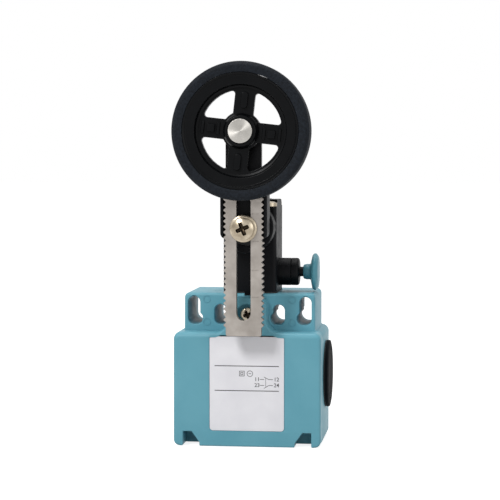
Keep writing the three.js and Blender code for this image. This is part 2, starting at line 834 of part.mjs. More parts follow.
function makeAxle() {
  const headBack = rollerFront + axleHeadThickness;
  const tail = leverBack + rivetWasherThickness + axleTail;
  return turned([
    [0, rollerFront], [axleHeadRadius, rollerFront], [axleHeadRadius, headBack],
    [axleRadius, headBack], [axleRadius, tail], [0, tail],
  ], smallSides);
}

function makeTyre() {
  const edge = rollerRadius - tyreCrown;
  const middle = (rollerFront + rollerBack) / 2;
  const quarter = (rollerBack - rollerFront) / 4;
  return turned([
    [tyreInnerRadius, rollerFront], [edge - tyreCrown, rollerFront], [edge, rollerFront + tyreCrown],
    [rollerRadius, middle - quarter], [rollerRadius, middle + quarter],
    [edge, rollerBack - tyreCrown], [edge - tyreCrown, rollerBack], [tyreInnerRadius, rollerBack],
  ]);
}

// One window between two spokes: a sector between two radii with the spokes' half widths left.
function windowOutline(quadrant) {
  const half = spokeWidth / 2;
  const turn = (quadrant * Math.PI) / 2 - (spokeTurn * Math.PI) / 180;
  const outerStart = Math.asin(half / windowOuter);
  const innerStart = Math.asin(half / windowInner);
  const shape = new THREE.Shape();
  shape.absarc(0, 0, windowOuter, turn + outerStart, turn + Math.PI / 2 - outerStart, false);
  shape.absarc(0, 0, windowInner, turn + Math.PI / 2 - innerStart, turn + innerStart, true);
  shape.closePath();
  return shape;
}

function makeRollerHub() {
  const inner = axleRadius + runningGap;
  const rimOuter = tyreInnerRadius - fixedGap;
  const front = rollerFront + rimInset;
  const back = rollerBack - rimInset;
  const bossFront = rollerFront + axleHeadThickness + runningGap;
  const disc = turned([
    [inner, bossFront], [hubBossRadius, bossFront], [hubBossRadius, webFront],
    [rimInnerRadius, webFront], [rimInnerRadius, front], [rimOuter, front], [rimOuter, back],
    [rimInnerRadius, back], [rimInnerRadius, webBack], [hubBossRadius, webBack],
    [hubBossRadius, back], [inner, back],
  ]);
  const windows = [0, 1, 2, 3].map((i) => plate(windowOutline(i), webFront - past, webBack + past, 8));
  return carve([disc], windows);
}

const spacerBore = axleRadius + fixedGap;
const spacerBack = leverFront;
const spacerFront = rollerBack - rimInset + runningGap;
const rivetBack = leverBack + rivetWasherThickness;
addPiece('roller_axle', makeAxle(), nickel(), roller);
addPiece('roller_spacer', ringY(hubBossRadius, spacerBore, spacerFront, spacerBack), nickel(), roller);
addPiece('axle_rivet_washer', ringY(rivetWasherRadius, spacerBore, leverBack, rivetBack), nickel(), roller);
addPiece('roller_hub', makeRollerHub(), blackPlastic(), roller);
addPiece('roller_tyre', makeTyre(), rubber(), roller);

// ---------------------------------------------------------------------------
// Pull-to-reset knob on the head's right side
// ---------------------------------------------------------------------------

function atReset(mesh) {
  mesh.position.set(0, plungerY, resetHeight);
  return mesh;
}

function makeResetBush() {
  const shank = resetChamberRadius - fixedGap;
  const hole = resetRodRadius + runningGap;
  return turnedX([
    [hole, resetBossEnd - resetBushShank], [shank, resetBossEnd - resetBushShank],
    [shank, resetBossEnd], [resetBossRadius, resetBossEnd], [resetBossRadius, resetCapEnd],
    [hole, resetCapEnd],
  ]);
}

const resetRodEnd = knobEnd - knobFace;
const resetCollarStart = headBayHalfWidth + runningGap;
const resetCollarEnd = resetCollarStart + resetCollarThickness;

function makeResetRod() {
  return turnedX([
    [0, resetRodTip], [resetNoseRadius, resetRodTip], [resetNoseRadius, resetCollarStart],
    [resetCollarRadius, resetCollarStart], [resetCollarRadius, resetCollarEnd],
    [resetRodRadius, resetCollarEnd], [resetRodRadius, resetRodEnd], [0, resetRodEnd],
  ]);
}

function makeResetKnob() {
  const hole = resetRodRadius + fixedGap;
  const holeEnd = resetRodEnd + fixedGap;
  return turnedX([
    [hole, knobStart], [knobNeckRadius, knobStart], [knobNeckRadius, knobDiscStart],
    [knobBackRadius, knobDiscStart], [knobRadius, knobDiscStart + knobFlare],
    [knobRadius, knobEnd - knobBevel],
    [knobRadius - knobBevel, knobEnd], [0, knobEnd], [0, holeEnd], [hole, holeEnd], [hole, knobStart],
  ].reverse(), smoothSides);
}

function makeResetSpring() {
  const length = resetBossEnd - resetBushShank - resetCollarEnd - 2 * fixedGap;
  const spring = coilSpring(resetSpring, length);
  return spring.rotateY(Math.PI / 2).translate(resetCollarEnd + fixedGap, 0, 0);
}

atReset(addPiece('reset_bush', makeResetBush(), blackPaint()));
atReset(addPiece('reset_rod', makeResetRod(), steel()));
atReset(addPiece('reset_knob', makeResetKnob(), paint()));
atReset(addPiece('reset_spring', makeResetSpring(), steel()));

// ---------------------------------------------------------------------------
// Plunger below the cam
// ---------------------------------------------------------------------------

const collarLow = bodyTop - runningGap;

function makePlunger() {
  const headLow = plungerTop - plungerHeadHeight;
  const collarHigh = collarLow + plungerCollarHeight;
  return turnedZ([
    [0, plungerBottom], [plungerRadius, plungerBottom], [plungerRadius, collarLow],
    [plungerCollarRadius, collarLow], [plungerCollarRadius, collarHigh],
    [plungerRadius, collarHigh], [plungerRadius, headLow], [plungerHeadRadius, headLow],
    [plungerHeadRadius, plungerTop], [0, plungerTop],
  ]);
}

const plungerSpringLength = collarLow - springShoulder - 2 * fixedGap;
addPiece('head_plunger', makePlunger(), palePlastic()).position.y = plungerY;
addPiece('plunger_spring', coilSpring(plungerSpring, plungerSpringLength), steel())
  .position.set(0, plungerY, springShoulder + fixedGap);

// ---------------------------------------------------------------------------
// Contact block
// ---------------------------------------------------------------------------

// The arm's height range: above the bridge where the contact opens, below it where it closes.
function armRange(level) {
  const up = level === ncLevel ? 1 : -1;
  const near = level + up * terminal.armOffset;
  const far = near + up * terminal.thickness;
  return [Math.min(near, far), Math.max(near, far)];
}

// The bridge's height range: a running gap from the arm that it rests on, or its travel away.
function bridgeRange(level) {
  const [armLow, armHigh] = armRange(level);
  const low = level === ncLevel
    ? armLow - runningGap - bridge.thickness
    : armHigh + plungerTravel + runningGap;
  return [low, low + bridge.thickness];
}

function makeBlockBase() {
  const { half, low, high, front } = contactBlock;
  const stemGap = stemHalf + runningGap;
  const cutters = [
    box([-bay.half, bay.half], [front - past, bay.back], [bay.low, bay.high]),
    box([-stemGap, stemGap], [plungerY - stemGap, plungerY + stemGap], [bay.high - past, high + past]),
  ];
  [-1, 1].forEach((side) => {
    [ncLevel, noLevel].forEach((level) => {
      const [armLow, armHigh] = armRange(level);
      const bayHeight = [level - terminalBay.halfHeight, level + terminalBay.halfHeight];
      cutters.push(box([side * (bay.half - past), side * (half + past)], [front - past, terminal.seat],
        bayHeight));
      cutters.push(box([side * (bay.half - past), side * (bay.half + terminalBay.reach)],
        [front - past, plungerY + bridge.halfY + runningGap], [armLow - runningGap, armHigh + runningGap]));
      cutters.push(rodY(terminalScrew.radius + runningGap, terminal.seat - past,
        terminal.seat + terminalScrew.depth, side * terminalScrew.x, level));
    });
    cutters.push(rodY(blockScrew.radius + runningGap, front - past, chamberBack + past,
      side * blockScrew.x, blockScrew.z));
  });
  return carve([box([-half, half], [front, chamberBack], [low, high])], cutters);
}

function makeBlockScrew(side) {
  const { x, z, radius, headRadius, headHeight, depth } = blockScrew;
  const face = contactBlock.front - headHeight;
  return carve([
    rodY(headRadius, face, contactBlock.front, side * x, z),
    rodY(radius, contactBlock.front - fixedGap, chamberBack + depth - runningGap, side * x, z),
  ], crossDrive(face, blockScrewDrive, side * x, z));
}

function makeSlider() {
  const windows = [ncLevel, noLevel].map((level) => {
    const [low, high] = bridgeRange(level);
    const halfY = bridge.halfY + bridge.slotGap;
    return box([-slider.halfX - past, slider.halfX + past], [-halfY, halfY],
      [low - bridge.slotGap, high + bridge.slotGap]);
  });
  return carve([
    box([-slider.halfX, slider.halfX], [-slider.halfY, slider.halfY], [slider.low, slider.high]),
    box([-stemHalf, stemHalf], [-stemHalf, stemHalf], [slider.high - past, plungerBottom]),
  ], windows);
}

function makeBridge(level) {
  const [low, high] = bridgeRange(level);
  return box([-bridge.halfX, bridge.halfX], [-bridge.halfY, bridge.halfY], [low, high]);
}

function makeTerminal(side, level) {
  const { inner, outer, thickness, halfHeight, seat } = terminal;
  const plateInner = bay.half + 2 * runningGap;
  const front = seat - thickness;
  const height = [level - halfHeight, level + halfHeight];
  return carve([
    box([side * plateInner, side * outer], [front, seat], height),
    box([side * inner, side * (plateInner + thickness)], [front, plungerY + bridge.halfY], armRange(level)),
  ], [
    rodY(terminalScrew.radius + runningGap, front - past, seat + past, side * terminalScrew.x, level),
  ]);
}

const clampPlateBack = terminal.seat - terminal.thickness;
const clampPlateFront = clampPlateBack - clampPlate.thickness;

function makeClampPlate(side, level) {
  const { halfSize } = clampPlate;
  const x = side * terminalScrew.x;
  return carve([
    box([x - halfSize, x + halfSize], [clampPlateFront, clampPlateBack], [level - halfSize, level + halfSize]),
  ], [
    rodY(terminalScrew.radius + runningGap, clampPlateFront - past, clampPlateBack + past, x, level),
  ]);
}

function makeTerminalScrew(side, level) {
  const { radius, headRadius, headHeight, depth } = terminalScrew;
  const face = clampPlateFront - headHeight;
  const x = side * terminalScrew.x;
  return carve([
    rodY(headRadius, face, clampPlateFront, x, level),
    rodY(radius, clampPlateFront - fixedGap, terminal.seat + depth - runningGap, x, level),
  ], crossDrive(face, terminalDrive, x, level));
}

const lidHalf = bay.half + lidOverlap.side;
const lidHeight = [bay.low - lidOverlap.height, bay.high + lidOverlap.height];
const lidDepth = [contactBlock.front - lidThickness, contactBlock.front];
const contactSpringLength = slider.low - bay.low - 2 * fixedGap;

addPiece('contact_block_base', makeBlockBase(), palePlastic());
addPiece('contact_block_lid', box([-lidHalf, lidHalf], lidDepth, lidHeight), palePlastic());
addPiece('block_screw_1', makeBlockScrew(-1), nickel());
addPiece('block_screw_2', makeBlockScrew(1), nickel());
addPiece('contact_carrier', makeSlider(), blackPlastic()).position.y = plungerY;
addPiece('bridge_nc', makeBridge(ncLevel), silver()).position.y = plungerY;
addPiece('bridge_no', makeBridge(noLevel), silver()).position.y = plungerY;
addPiece('contact_spring', coilSpring(contactSpring, contactSpringLength), steel())
  .position.set(0, plungerY, bay.low + fixedGap);

const terminals = [['11', -1, ncLevel], ['12', 1, ncLevel], ['23', -1, noLevel], ['24', 1, noLevel]];
terminals.forEach(([number, side, level]) => {
  addPiece(`terminal_${number}`, makeTerminal(side, level), brass());
  addPiece(`clamp_plate_${number}`, makeClampPlate(side, level), nickel());
  addPiece(`terminal_screw_${number}`, makeTerminalScrew(side, level), nickel());
});

export default limitSwitch;
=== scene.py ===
# %% [markdown]
# A compact limit switch, built as a lesson in Blender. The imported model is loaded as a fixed
# frame: every piece below takes its place from it, in metres, and rides on one of its bodies.

# %% Load the frame
import json
import math

import bmesh
import bpy
import numpy as np
from mathutils import Matrix, Vector
from mathutils.geometry import tessellate_polygon

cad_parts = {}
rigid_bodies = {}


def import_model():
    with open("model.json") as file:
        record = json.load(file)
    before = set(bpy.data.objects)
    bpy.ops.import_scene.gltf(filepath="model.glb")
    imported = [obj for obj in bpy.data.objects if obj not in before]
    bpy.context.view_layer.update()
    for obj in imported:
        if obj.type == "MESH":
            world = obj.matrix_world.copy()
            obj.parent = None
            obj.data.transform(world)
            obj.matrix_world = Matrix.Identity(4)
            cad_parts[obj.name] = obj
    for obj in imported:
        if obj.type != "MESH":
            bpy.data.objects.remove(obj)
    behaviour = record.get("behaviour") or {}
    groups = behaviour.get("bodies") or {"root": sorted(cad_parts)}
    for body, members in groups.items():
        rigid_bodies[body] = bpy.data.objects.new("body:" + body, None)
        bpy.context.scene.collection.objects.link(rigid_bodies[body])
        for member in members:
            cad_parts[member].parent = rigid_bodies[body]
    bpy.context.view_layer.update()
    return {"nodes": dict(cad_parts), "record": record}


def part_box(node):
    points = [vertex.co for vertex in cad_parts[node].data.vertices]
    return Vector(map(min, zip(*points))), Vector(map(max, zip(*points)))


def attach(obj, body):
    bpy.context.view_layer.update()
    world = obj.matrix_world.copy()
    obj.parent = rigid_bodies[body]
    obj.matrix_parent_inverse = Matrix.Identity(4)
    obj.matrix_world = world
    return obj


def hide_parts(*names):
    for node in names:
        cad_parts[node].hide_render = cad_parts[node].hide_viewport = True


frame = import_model()
MM = 0.001

# %% [markdown]
# The camera stands a little to the right of the switch and a little above it, with a long lens,
# so that the sides stay nearly parallel. It looks at a point on the front cover's plane.

# %% Camera
AZIMUTH, ELEVATION = math.radians(6.95), math.radians(3.1)
CAMERA_DISTANCE = 650 * MM
TARGET = Vector((1.26, -24, 73.2)) * MM

towards_camera = Vector((
    math.sin(AZIMUTH) * math.cos(ELEVATION),
    -math.cos(AZIMUTH) * math.cos(ELEVATION),
    math.sin(ELEVATION),
))
camera_data = bpy.data.cameras.new("camera")
camera_data.sensor_width = 36
camera_data.lens = 126.8
camera = bpy.data.objects.new("camera", camera_data)
camera.location = TARGET + towards_camera * CAMERA_DISTANCE
camera.rotation_euler = towards_camera.to_track_quat("Z", "Y").to_euler()
bpy.context.scene.collection.objects.link(camera)
bpy.context.scene.camera = camera
print("camera at", [round(c, 3) for c in camera.location])

# %% [markdown]
# Materials are networks of nodes. One helper adds a node, sets its inputs and makes its links,
# and each finish below is a few lines of it. Colours are given as sRGB hex values, the way a
# colour picker shows them, and one function turns them into the linear values that shaders use.


# %% Node helper and colours
def linear(hex_colour):
    """sRGB to linear: values below 0.04045 are divided by 12.92, the others follow a 2.4 power."""
    parts = [int(hex_colour[i:i + 2], 16) / 255 for i in (0, 2, 4)]
    lin = [c / 12.92 if c <= 0.04045 else ((c + 0.055) / 1.055) ** 2.4 for c in parts]
    return (*lin, 1.0)


def add_node(tree, kind, inputs=None, **settings):
    """Add a node; an input given as an output socket is linked, any other value is set."""
    node = tree.nodes.new(kind)
    for name, value in settings.items():
        setattr(node, name, value)
    for key, value in (inputs or {}).items():
        if isinstance(value, bpy.types.NodeSocket):
            tree.links.new(value, node.inputs[key])
        else:
            node.inputs[key].default_value = value
    return node


def new_material(name):
    """An empty material with its shader and output; gives (material, tree, shader)."""
    material = bpy.data.materials.new(name)
    material.use_nodes = True
    tree = material.node_tree
    tree.nodes.clear()
    shader = add_node(tree, "ShaderNodeBsdfPrincipled")
    add_node(tree, "ShaderNodeOutputMaterial", {"Surface": shader.outputs[0]})
    return material, tree, shader


def object_place(tree):
    return add_node(tree, "ShaderNodeTexCoord").outputs["Object"]


def noise(tree, place, size_mm, detail=3.0, stretch=(1, 1, 1)):
    """Noise whose blobs are about size_mm across, stretched along the axes by the given factors."""
    scaled = add_node(tree, "ShaderNodeMapping", {"Vector": place, "Scale": [1 / s for s in stretch]})
    settings = {"Vector": scaled.outputs[0], "Scale": 1 / (size_mm * MM), "Detail": detail}
    return add_node(tree, "ShaderNodeTexNoise", settings).outputs["Fac"]


def spread(tree, value, low, high, start=0.3, end=0.7):
    """Map a noise value from start..end to low..high."""
    settings = {"Value": value, "From Min": start, "From Max": end, "To Min": low, "To Max": high}
    return add_node(tree, "ShaderNodeMapRange", settings).outputs[0]


def tint(tree, value, dark, light):
    """A colour between two hex colours, chosen by a value from 0 to 1."""
    mix = add_node(tree, "ShaderNodeMix", data_type="RGBA")
    mix.inputs[6].default_value = linear(dark)
    mix.inputs[7].default_value = linear(light)
    tree.links.new(value, mix.inputs[0])
    return mix.outputs[2]


def bump(tree, shader, height, depth_mm, strength=1.0, below=None):
    """Raise the surface by up to depth_mm where height is 1; below is a bump that it adds to."""
    inputs = {"Height": height, "Distance": depth_mm * MM, "Strength": strength}
    if below is not None:
        inputs["Normal"] = below
    normal = add_node(tree, "ShaderNodeBump", inputs).outputs[0]
    tree.links.new(normal, shader.inputs["Normal"])
    return normal


# %% [markdown]
# The housing is an aluminium die casting with a satin stoved paint. Paint lies thick and nearly
# smooth: a fine orange-peel bump, a faint drift in colour and a little unevenness in its gloss
# are what tells it from plain plastic. The knob is moulded in the same colour.


# %% Painted castings
def painted(name, dark, light, roughness, peel_mm, peel_depth_mm, specular=0.5):
    material, tree, shader = new_material(name)
    place = object_place(tree)
    drift = spread(tree, noise(tree, place, 14), 0, 1)
    tree.links.new(tint(tree, drift, dark, light), shader.inputs["Base Color"])
    uneven = spread(tree, noise(tree, place, 3), roughness - 0.05, roughness + 0.05)
    tree.links.new(uneven, shader.inputs["Roughness"])
    bump(tree, shader, noise(tree, place, peel_mm), peel_depth_mm)
    shader.inputs["Specular IOR Level"].default_value = specular
    return material


teal_paint = painted("stoved_teal_paint_on_casting", "5f9fb0", "68a7b7", 0.46, 0.5, 0.012, 0.35)
black_paint = painted("satin_black_paint_on_casting", "08090b", "101114", 0.46, 0.45, 0.02, 0.1)
teal_plastic = painted("moulded_teal_plastic", "4f93a4", "5a9caa", 0.4, 1.5, 0.006, 0.35)
black_plastic = painted("moulded_black_nylon", "050608", "0a0b0d", 0.3, 0.8, 0.008, 0.09)
plug_plastic = painted("moulded_grey_black_nylon", "0f1013", "17181b", 0.68, 0.6, 0.015, 0.05)
pale_plastic = painted("moulded_pale_thermoset", "c9c6ba", "d8d5ca", 0.5, 0.8, 0.01)
seal_rubber = painted("moulded_nitrile_seal", "131313", "1c1c1c", 0.75, 0.3, 0.01)
print("painted and moulded finishes made")

# %% [markdown]
# Bare metals differ mostly in how they were worked. The lever is stamped from zinc-plated strip:
# its faces carry a fine grain and dull smudges. Screws are nickel plated, brighter and warmer.
# The roller's pin was faced on a lathe, which leaves fine rings round its axis; they throw the
# light into a bow-tie, which anisotropy about the axis gives without a pattern too fine to show.


# %% Metals
def metal(name, dark, light, low_rough, high_rough, smudge_mm, grain=(1, 1, 1)):
    material, tree, shader = new_material(name)
    place = object_place(tree)
    shader.inputs["Metallic"].default_value = 1.0
    smudge = spread(tree, noise(tree, place, smudge_mm), 0, 1)
    tree.links.new(tint(tree, smudge, dark, light), shader.inputs["Base Color"])
    grained = noise(tree, place, 0.25, 2.0, grain)
    tree.links.new(spread(tree, grained, low_rough, high_rough), shader.inputs["Roughness"])
    bump(tree, shader, grained, 0.004)
    return material, tree, shader


lever_steel = metal("stamped_zinc_plated_steel", "8d8781", "a39d97", 0.34, 0.48, 5, (1, 1, 5))[0]
nickel, nickel_tree, nickel_shader = metal("nickel_plated_steel", "8f8371", "b9ae9b", 0.2, 0.32, 3)
turned_steel = metal("turned_bright_steel", "8b8a88", "a09f9c", 0.3, 0.4, 4)[0]
spring_steel = metal("drawn_spring_wire", "7c7b79", "939290", 0.3, 0.4, 3)[0]
brass = metal("machined_brass", "b08a3c", "cda552", 0.25, 0.4, 3)[0]
silver_alloy = metal("stamped_silver_alloy", "c9c8c2", "dedcd5", 0.25, 0.35, 3)[0]

# Painted shade: the lever's end behind the roller is darkened, standing for the shade and the dark
# reflection of the roller there; a step on height changes the metal's colour there.
lever_tree = lever_steel.node_tree
lever_shader = next(n for n in lever_tree.nodes if n.type == "BSDF_PRINCIPLED")
height = add_node(lever_tree, "ShaderNodeSeparateXYZ", {0: object_place(lever_tree)}).outputs["Z"]
PAINTED_SHADE_FROM = 96 * MM
in_painted_shade = add_node(lever_tree, "ShaderNodeMapRange", {"Value": height, "From Min": PAINTED_SHADE_FROM,
                                                     "From Max": PAINTED_SHADE_FROM + 1 * MM}).outputs[0]
lever_painted_shade_mix = add_node(lever_tree, "ShaderNodeMix", {0: in_painted_shade}, data_type="RGBA")
lever_tree.links.new(lever_shader.inputs["Base Color"].links[0].from_socket, lever_painted_shade_mix.inputs[6])
# the near-black of the painted shade behind the roller
lever_painted_shade_mix.inputs[7].default_value = linear("1a1a1b")
lever_tree.links.new(lever_painted_shade_mix.outputs[2], lever_shader.inputs["Base Color"])

faced_pin, faced_tree, faced_shader = metal("lathe_faced_steel", "a8a5a0", "b8b5b0", 0.3, 0.42, 4)
faced_shader.inputs["Anisotropic"].default_value = 0.85
around = add_node(faced_tree, "ShaderNodeTangent", direction_type="RADIAL", axis="Y")
faced_tree.links.new(around.outputs[0], faced_shader.inputs["Tangent"])

# Painted shade: a drive recess is darkened in the base colour, standing for the shade inside it; each
# screw's mesh says where its recess is.
recess = add_node(nickel_tree, "ShaderNodeAttribute", attribute_name="recess").outputs["Fac"]
recess_painted_shade_mix = add_node(nickel_tree, "ShaderNodeMix", data_type="RGBA")
nickel_tree.links.new(recess, recess_painted_shade_mix.inputs[0])
nickel_tree.links.new(nickel_shader.inputs["Base Color"].links[0].from_socket, recess_painted_shade_mix.inputs[6])
# the dark colour of the painted shade in the recesses
recess_painted_shade_mix.inputs[7].default_value = linear("2b241c")
nickel_tree.links.new(recess_painted_shade_mix.outputs[2], nickel_shader.inputs["Base Color"])
print("metals made")

# %% [markdown]
# The tyre is moulded rubber, blue-black and dull, with a fine mottle on its sides. The label is
# a pale satin film, and its print a black ink.


# %% Rubber, film and ink
def tyre_rubber_material():
    material, tree, shader = new_material("moulded_tyre_rubber")
    place = object_place(tree)
    mottle = noise(tree, place, 0.9, 5.0)
    tree.links.new(tint(tree, spread(tree, mottle, 0, 1), "0b0e13", "1b2027"), shader.inputs["Base Color"])
    tree.links.new(spread(tree, noise(tree, place, 2.5), 0.5, 0.64), shader.inputs["Roughness"])
    bump(tree, shader, mottle, 0.03)
    shader.inputs["Specular IOR Level"].default_value = 0.12
    return material


def film_material():
    material, tree, shader = new_material("satin_polyester_film")
    place = object_place(tree)
    shade = spread(tree, noise(tree, place, 9), 0, 1)
    tree.links.new(tint(tree, shade, "e6e5ea", "efeef2"), shader.inputs["Base Color"])
    tree.links.new(spread(tree, noise(tree, place, 4), 0.38, 0.46), shader.inputs["Roughness"])
    bump(tree, shader, noise(tree, place, 1.2), 0.004)
    return material


tyre_rubber = tyre_rubber_material()
label_film = film_material()
ink = painted("printed_black_ink", "2a292b", "343335", 0.5, 1.0, 0.002)
print("rubber, film and ink made")

# %% [markdown]
# Most pieces of a switch are plates, castings and turned parts. A casting here is a shell: each
# outline is carried through the thickness by a profile that rounds its edges, and flat caps close
# the ends. Outlines are drawn in two coordinates, and the third runs through the thickness.


# %% Outlines
def arc(centre, radius, start, end, steps):
    """Points on a circle: centre plus radius times (cos, sin) of angles from start to end."""
    angle = np.radians(np.linspace(start, end, steps + 1))
    return np.column_stack((centre[0] + radius * np.cos(angle), centre[1] + radius * np.sin(angle)))


def circle(centre, radius, steps=64):
    return arc(centre, radius, 0, 360, steps)[:-1]


def rounded(corners, steps=8):
    """A closed outline through (u, v, radius) corners, each rounded by an arc tangent to both sides."""
    points = []
    for i, (u, v, radius) in enumerate(corners):
        here = np.array((u, v), float)
        before = np.array(corners[i - 1][:2], float) - here
        after = np.array(corners[(i + 1) % len(corners)][:2], float) - here
        before, after = before / np.linalg.norm(before), after / np.linalg.norm(after)
        if radius == 0:
            points.append(here[None])
            continue
        half = math.acos(np.clip(before @ after, -1, 1)) / 2
        middle = (before + after) / np.linalg.norm(before + after)
        centre = here + middle * radius / math.sin(half)
        start = here + before * radius / math.tan(half) - centre
        end = here + after * radius / math.tan(half) - centre
        turn = math.atan2(start[0] * end[1] - start[1] * end[0], start @ end)
        first = math.degrees(math.atan2(start[1], start[0]))
        points.append(arc(centre, radius, first, first + math.degrees(turn), steps))
    return np.vstack(points)


def rectangle(u0, u1, v0, v1, radius=0.0, steps=8):
    return rounded([(u0, v0, radius), (u1, v0, radius), (u1, v1, radius), (u0, v1, radius)], steps)


def grown(loop, distance):
    """Move every side of a closed outline out by a distance, keeping the corners mitred."""
    side = np.roll(loop, -1, axis=0) - loop
    side = side / np.maximum(np.linalg.norm(side, axis=1, keepdims=True), 1e-12)
    out = np.column_stack((side[:, 1], -side[:, 0]))
    before = np.roll(out, 1, axis=0)
    mitre = (out + before) / (1 + np.sum(out * before, axis=1, keepdims=True))
    area = np.sum(loop[:, 0] * np.roll(loop[:, 1], -1) - np.roll(loop[:, 0], -1) * loop[:, 1])
    return loop + mitre * np.reshape(distance, (-1, 1)) * math.copysign(1, area)


# %% [markdown]
# The shell keeps its points and faces as arrays. A wall joins copies of one outline, each grown
# by some distance and set at some depth; a cap fills one outline, less the holes in it.


# %% Shells
class Shell:
    """A closed surface made of walls and caps; a point is (u, v, w), with w through the thickness."""

    def __init__(self):
        self.points = []
        self.faces = []
        self.count = 0

    def ring(self, loop, depth):
        ids = np.arange(self.count, self.count + len(loop))
        depths = np.broadcast_to(np.reshape(depth, -1), len(loop))
        self.points.append(np.column_stack((loop, depths)))
        self.count += len(loop)
        return ids

    def wall(self, loop, stations):
        """Quads between copies of the loop; a station is (distance grown, depth). Gives both ends."""
        rings = [self.ring(grown(loop, out), depth) for out, depth in stations]
        for one, two in zip(rings, rings[1:]):
            quads = np.column_stack((one, np.roll(one, -1), np.roll(two, -1), two))
            self.faces += quads.tolist()
        return rings[0], rings[-1]

    def cap(self, rings):
        """Triangles that fill the first ring and leave the others open."""
        points = np.vstack(self.points)
        loops = [[Vector((*points[i][:2], 0)) for i in ring] for ring in rings]
        ids = np.concatenate(rings)
        self.faces += [[int(ids[i]) for i in triangle] for triangle in tessellate_polygon(loops)]


def edge(radius, steps=4):
    """Stations of a quarter-round edge: grown by r(sin a - 1), at depth r(1 - cos a), for a to 90."""
    angle = np.radians(np.linspace(0, 90, steps + 1))
    return [(radius * (math.sin(a) - 1), radius * (1 - math.cos(a))) for a in angle]


def through(front, back, front_round, back_round, hole=False):
    """Stations from the front face to the back face; a hole's rounded lips grow the other way."""
    sign = -1 if hole else 1
    lead = [(sign * out, front + depth) for out, depth in edge(front_round)]
    tail = [(sign * out, back - depth) for out, depth in edge(back_round)]
    return lead + tail[::-1]


def plate_shell(outline, holes, front, back, front_round=0.2, back_round=0.2):
    """A plate with through holes, its edges rounded."""
    shell = Shell()
    ends = [shell.wall(outline, through(front, back, front_round, back_round))]
    ends += [shell.wall(hole, through(front, back, front_round, back_round, True)) for hole in holes]
    shell.cap([front_ring for front_ring, _ in ends])
    shell.cap([back_ring for _, back_ring in ends])
    return shell


# %% [markdown]
# A turned part is a profile of radius against position, carried round its axis. Corners are
# given a radius, as a lathe tool or a mould leaves them. Both kinds end up as one mesh, merged,
# facing outwards, and shaded smooth except at its sharp edges.


# %% Turned parts and meshes
AXES = {"X": (2, 0, 1), "Y": (0, 2, 1), "Z": (0, 1, 2)}


def mesh_from(name, points, faces, axis="Y", origin=(0, 0, 0), sharp=35):
    """Points are (u, v, w) in mm, with w along the axis: Y takes u, v as X, Z; Z as X, Y; X as Y, Z."""
    order = AXES[axis]
    placed = (np.asarray(points, float)[:, order] + np.asarray(origin, float)) * MM
    mesh = bpy.data.meshes.new(name)
    mesh.from_pydata(placed.tolist(), [], [[int(i) for i in f] for f in faces])
    work = bmesh.new()
    work.from_mesh(mesh)
    bmesh.ops.remove_doubles(work, verts=work.verts, dist=2e-6)
    bmesh.ops.dissolve_degenerate(work, edges=work.edges, dist=1e-7)
    bmesh.ops.recalc_face_normals(work, faces=work.faces)
    work.to_mesh(mesh)
    work.free()
    mesh.shade_smooth()
    mesh.set_sharp_from_angle(angle=math.radians(sharp))
    return mesh


def shell_mesh(name, shell, axis="Y", origin=(0, 0, 0), sharp=35):
    return mesh_from(name, np.vstack(shell.points), shell.faces, axis, origin, sharp)


def turned_mesh(name, profile, axis="Y", origin=(0, 0, 0), sides=96, steps=5, sharp=35):
    """Carry a (radius, position, corner radius) profile round the axis.

    A point is (r cos t, r sin t, w) for t once round. A profile that starts on the axis ends there.
    """
    open_profile = profile[0][0] == 0
    line = rounded_line(profile, steps) if open_profile else rounded(profile, steps)
    turn = np.linspace(0, 2 * np.pi, sides, endpoint=False)
    u = line[:, 0, None] * np.cos(turn)
    v = line[:, 0, None] * np.sin(turn)
    w = np.broadcast_to(line[:, 1, None], u.shape)
    points = np.stack((u, v, w), axis=-1).reshape(-1, 3)
    rows = len(line) if not open_profile else len(line) - 1
    i, j = np.meshgrid(np.arange(rows), np.arange(sides), indexing="ij")
    down, across = (i + 1) % len(line), (j + 1) % sides
    quads = np.stack((i * sides + j, down * sides + j, down * sides + across, i * sides + across), -1)
    return mesh_from(name, points, quads.reshape(-1, 4), axis, origin, sharp)


def rounded_line(corners, steps):
    """As rounded(), for a profile whose two ends stay where they are."""
    ends = [(*corners[0][:2], 0.0), *corners[1:-1], (*corners[-1][:2], 0.0)]
    return rounded(ends, steps)


def combine(mesh, cutters, operation="DIFFERENCE"):
    """Cut the cutters' meshes out of a mesh, or join them to it, and give the mesh that results."""
    scene = bpy.context.scene.collection.objects
    base = bpy.data.objects.new("blank", mesh)
    scene.link(base)
    tools = []
    for cutter in cutters:
        tool = bpy.data.objects.new("cutter", cutter)
        scene.link(tool)
        tools.append(tool)
        step = base.modifiers.new("boolean", "BOOLEAN")
        step.operation, step.solver, step.object = operation, "EXACT", tool
    view = bpy.context.evaluated_depsgraph_get()
    result = bpy.data.meshes.new_from_object(base.evaluated_get(view))
    for thing in (base, *tools):
        bpy.data.objects.remove(thing)
    result.name = mesh.name
    result.shade_smooth()
    result.set_sharp_from_angle(angle=math.radians(35))
    return result


def piece(name, mesh, body, material, replaced=()):
    """A finished piece: in the scene, riding on its body, standing for the nodes that it replaces."""
    thing = bpy.data.objects.new(name, mesh)
    bpy.context.scene.collection.objects.link(thing)
    mesh.materials.clear()
    mesh.materials.append(material)
    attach(thing, body)
    if replaced:
        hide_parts(*replaced)
    mesh.calc_loop_triangles()
    print(f"{name}: {len(mesh.loop_triangles)} triangles")
    return thing


def extent(node):
    """A node's lowest and highest corners in mm."""
    low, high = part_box(node)
    return np.array(low) / MM, np.array(high) / MM


def block_mesh(name, low, high):
    """A plain cutter between two corners, in mm."""
    shell = plate_shell(rectangle(low[0], high[0], low[2], high[2]), [], low[1], high[1], 1e-3, 1e-3)
    return shell_mesh(name, shell)


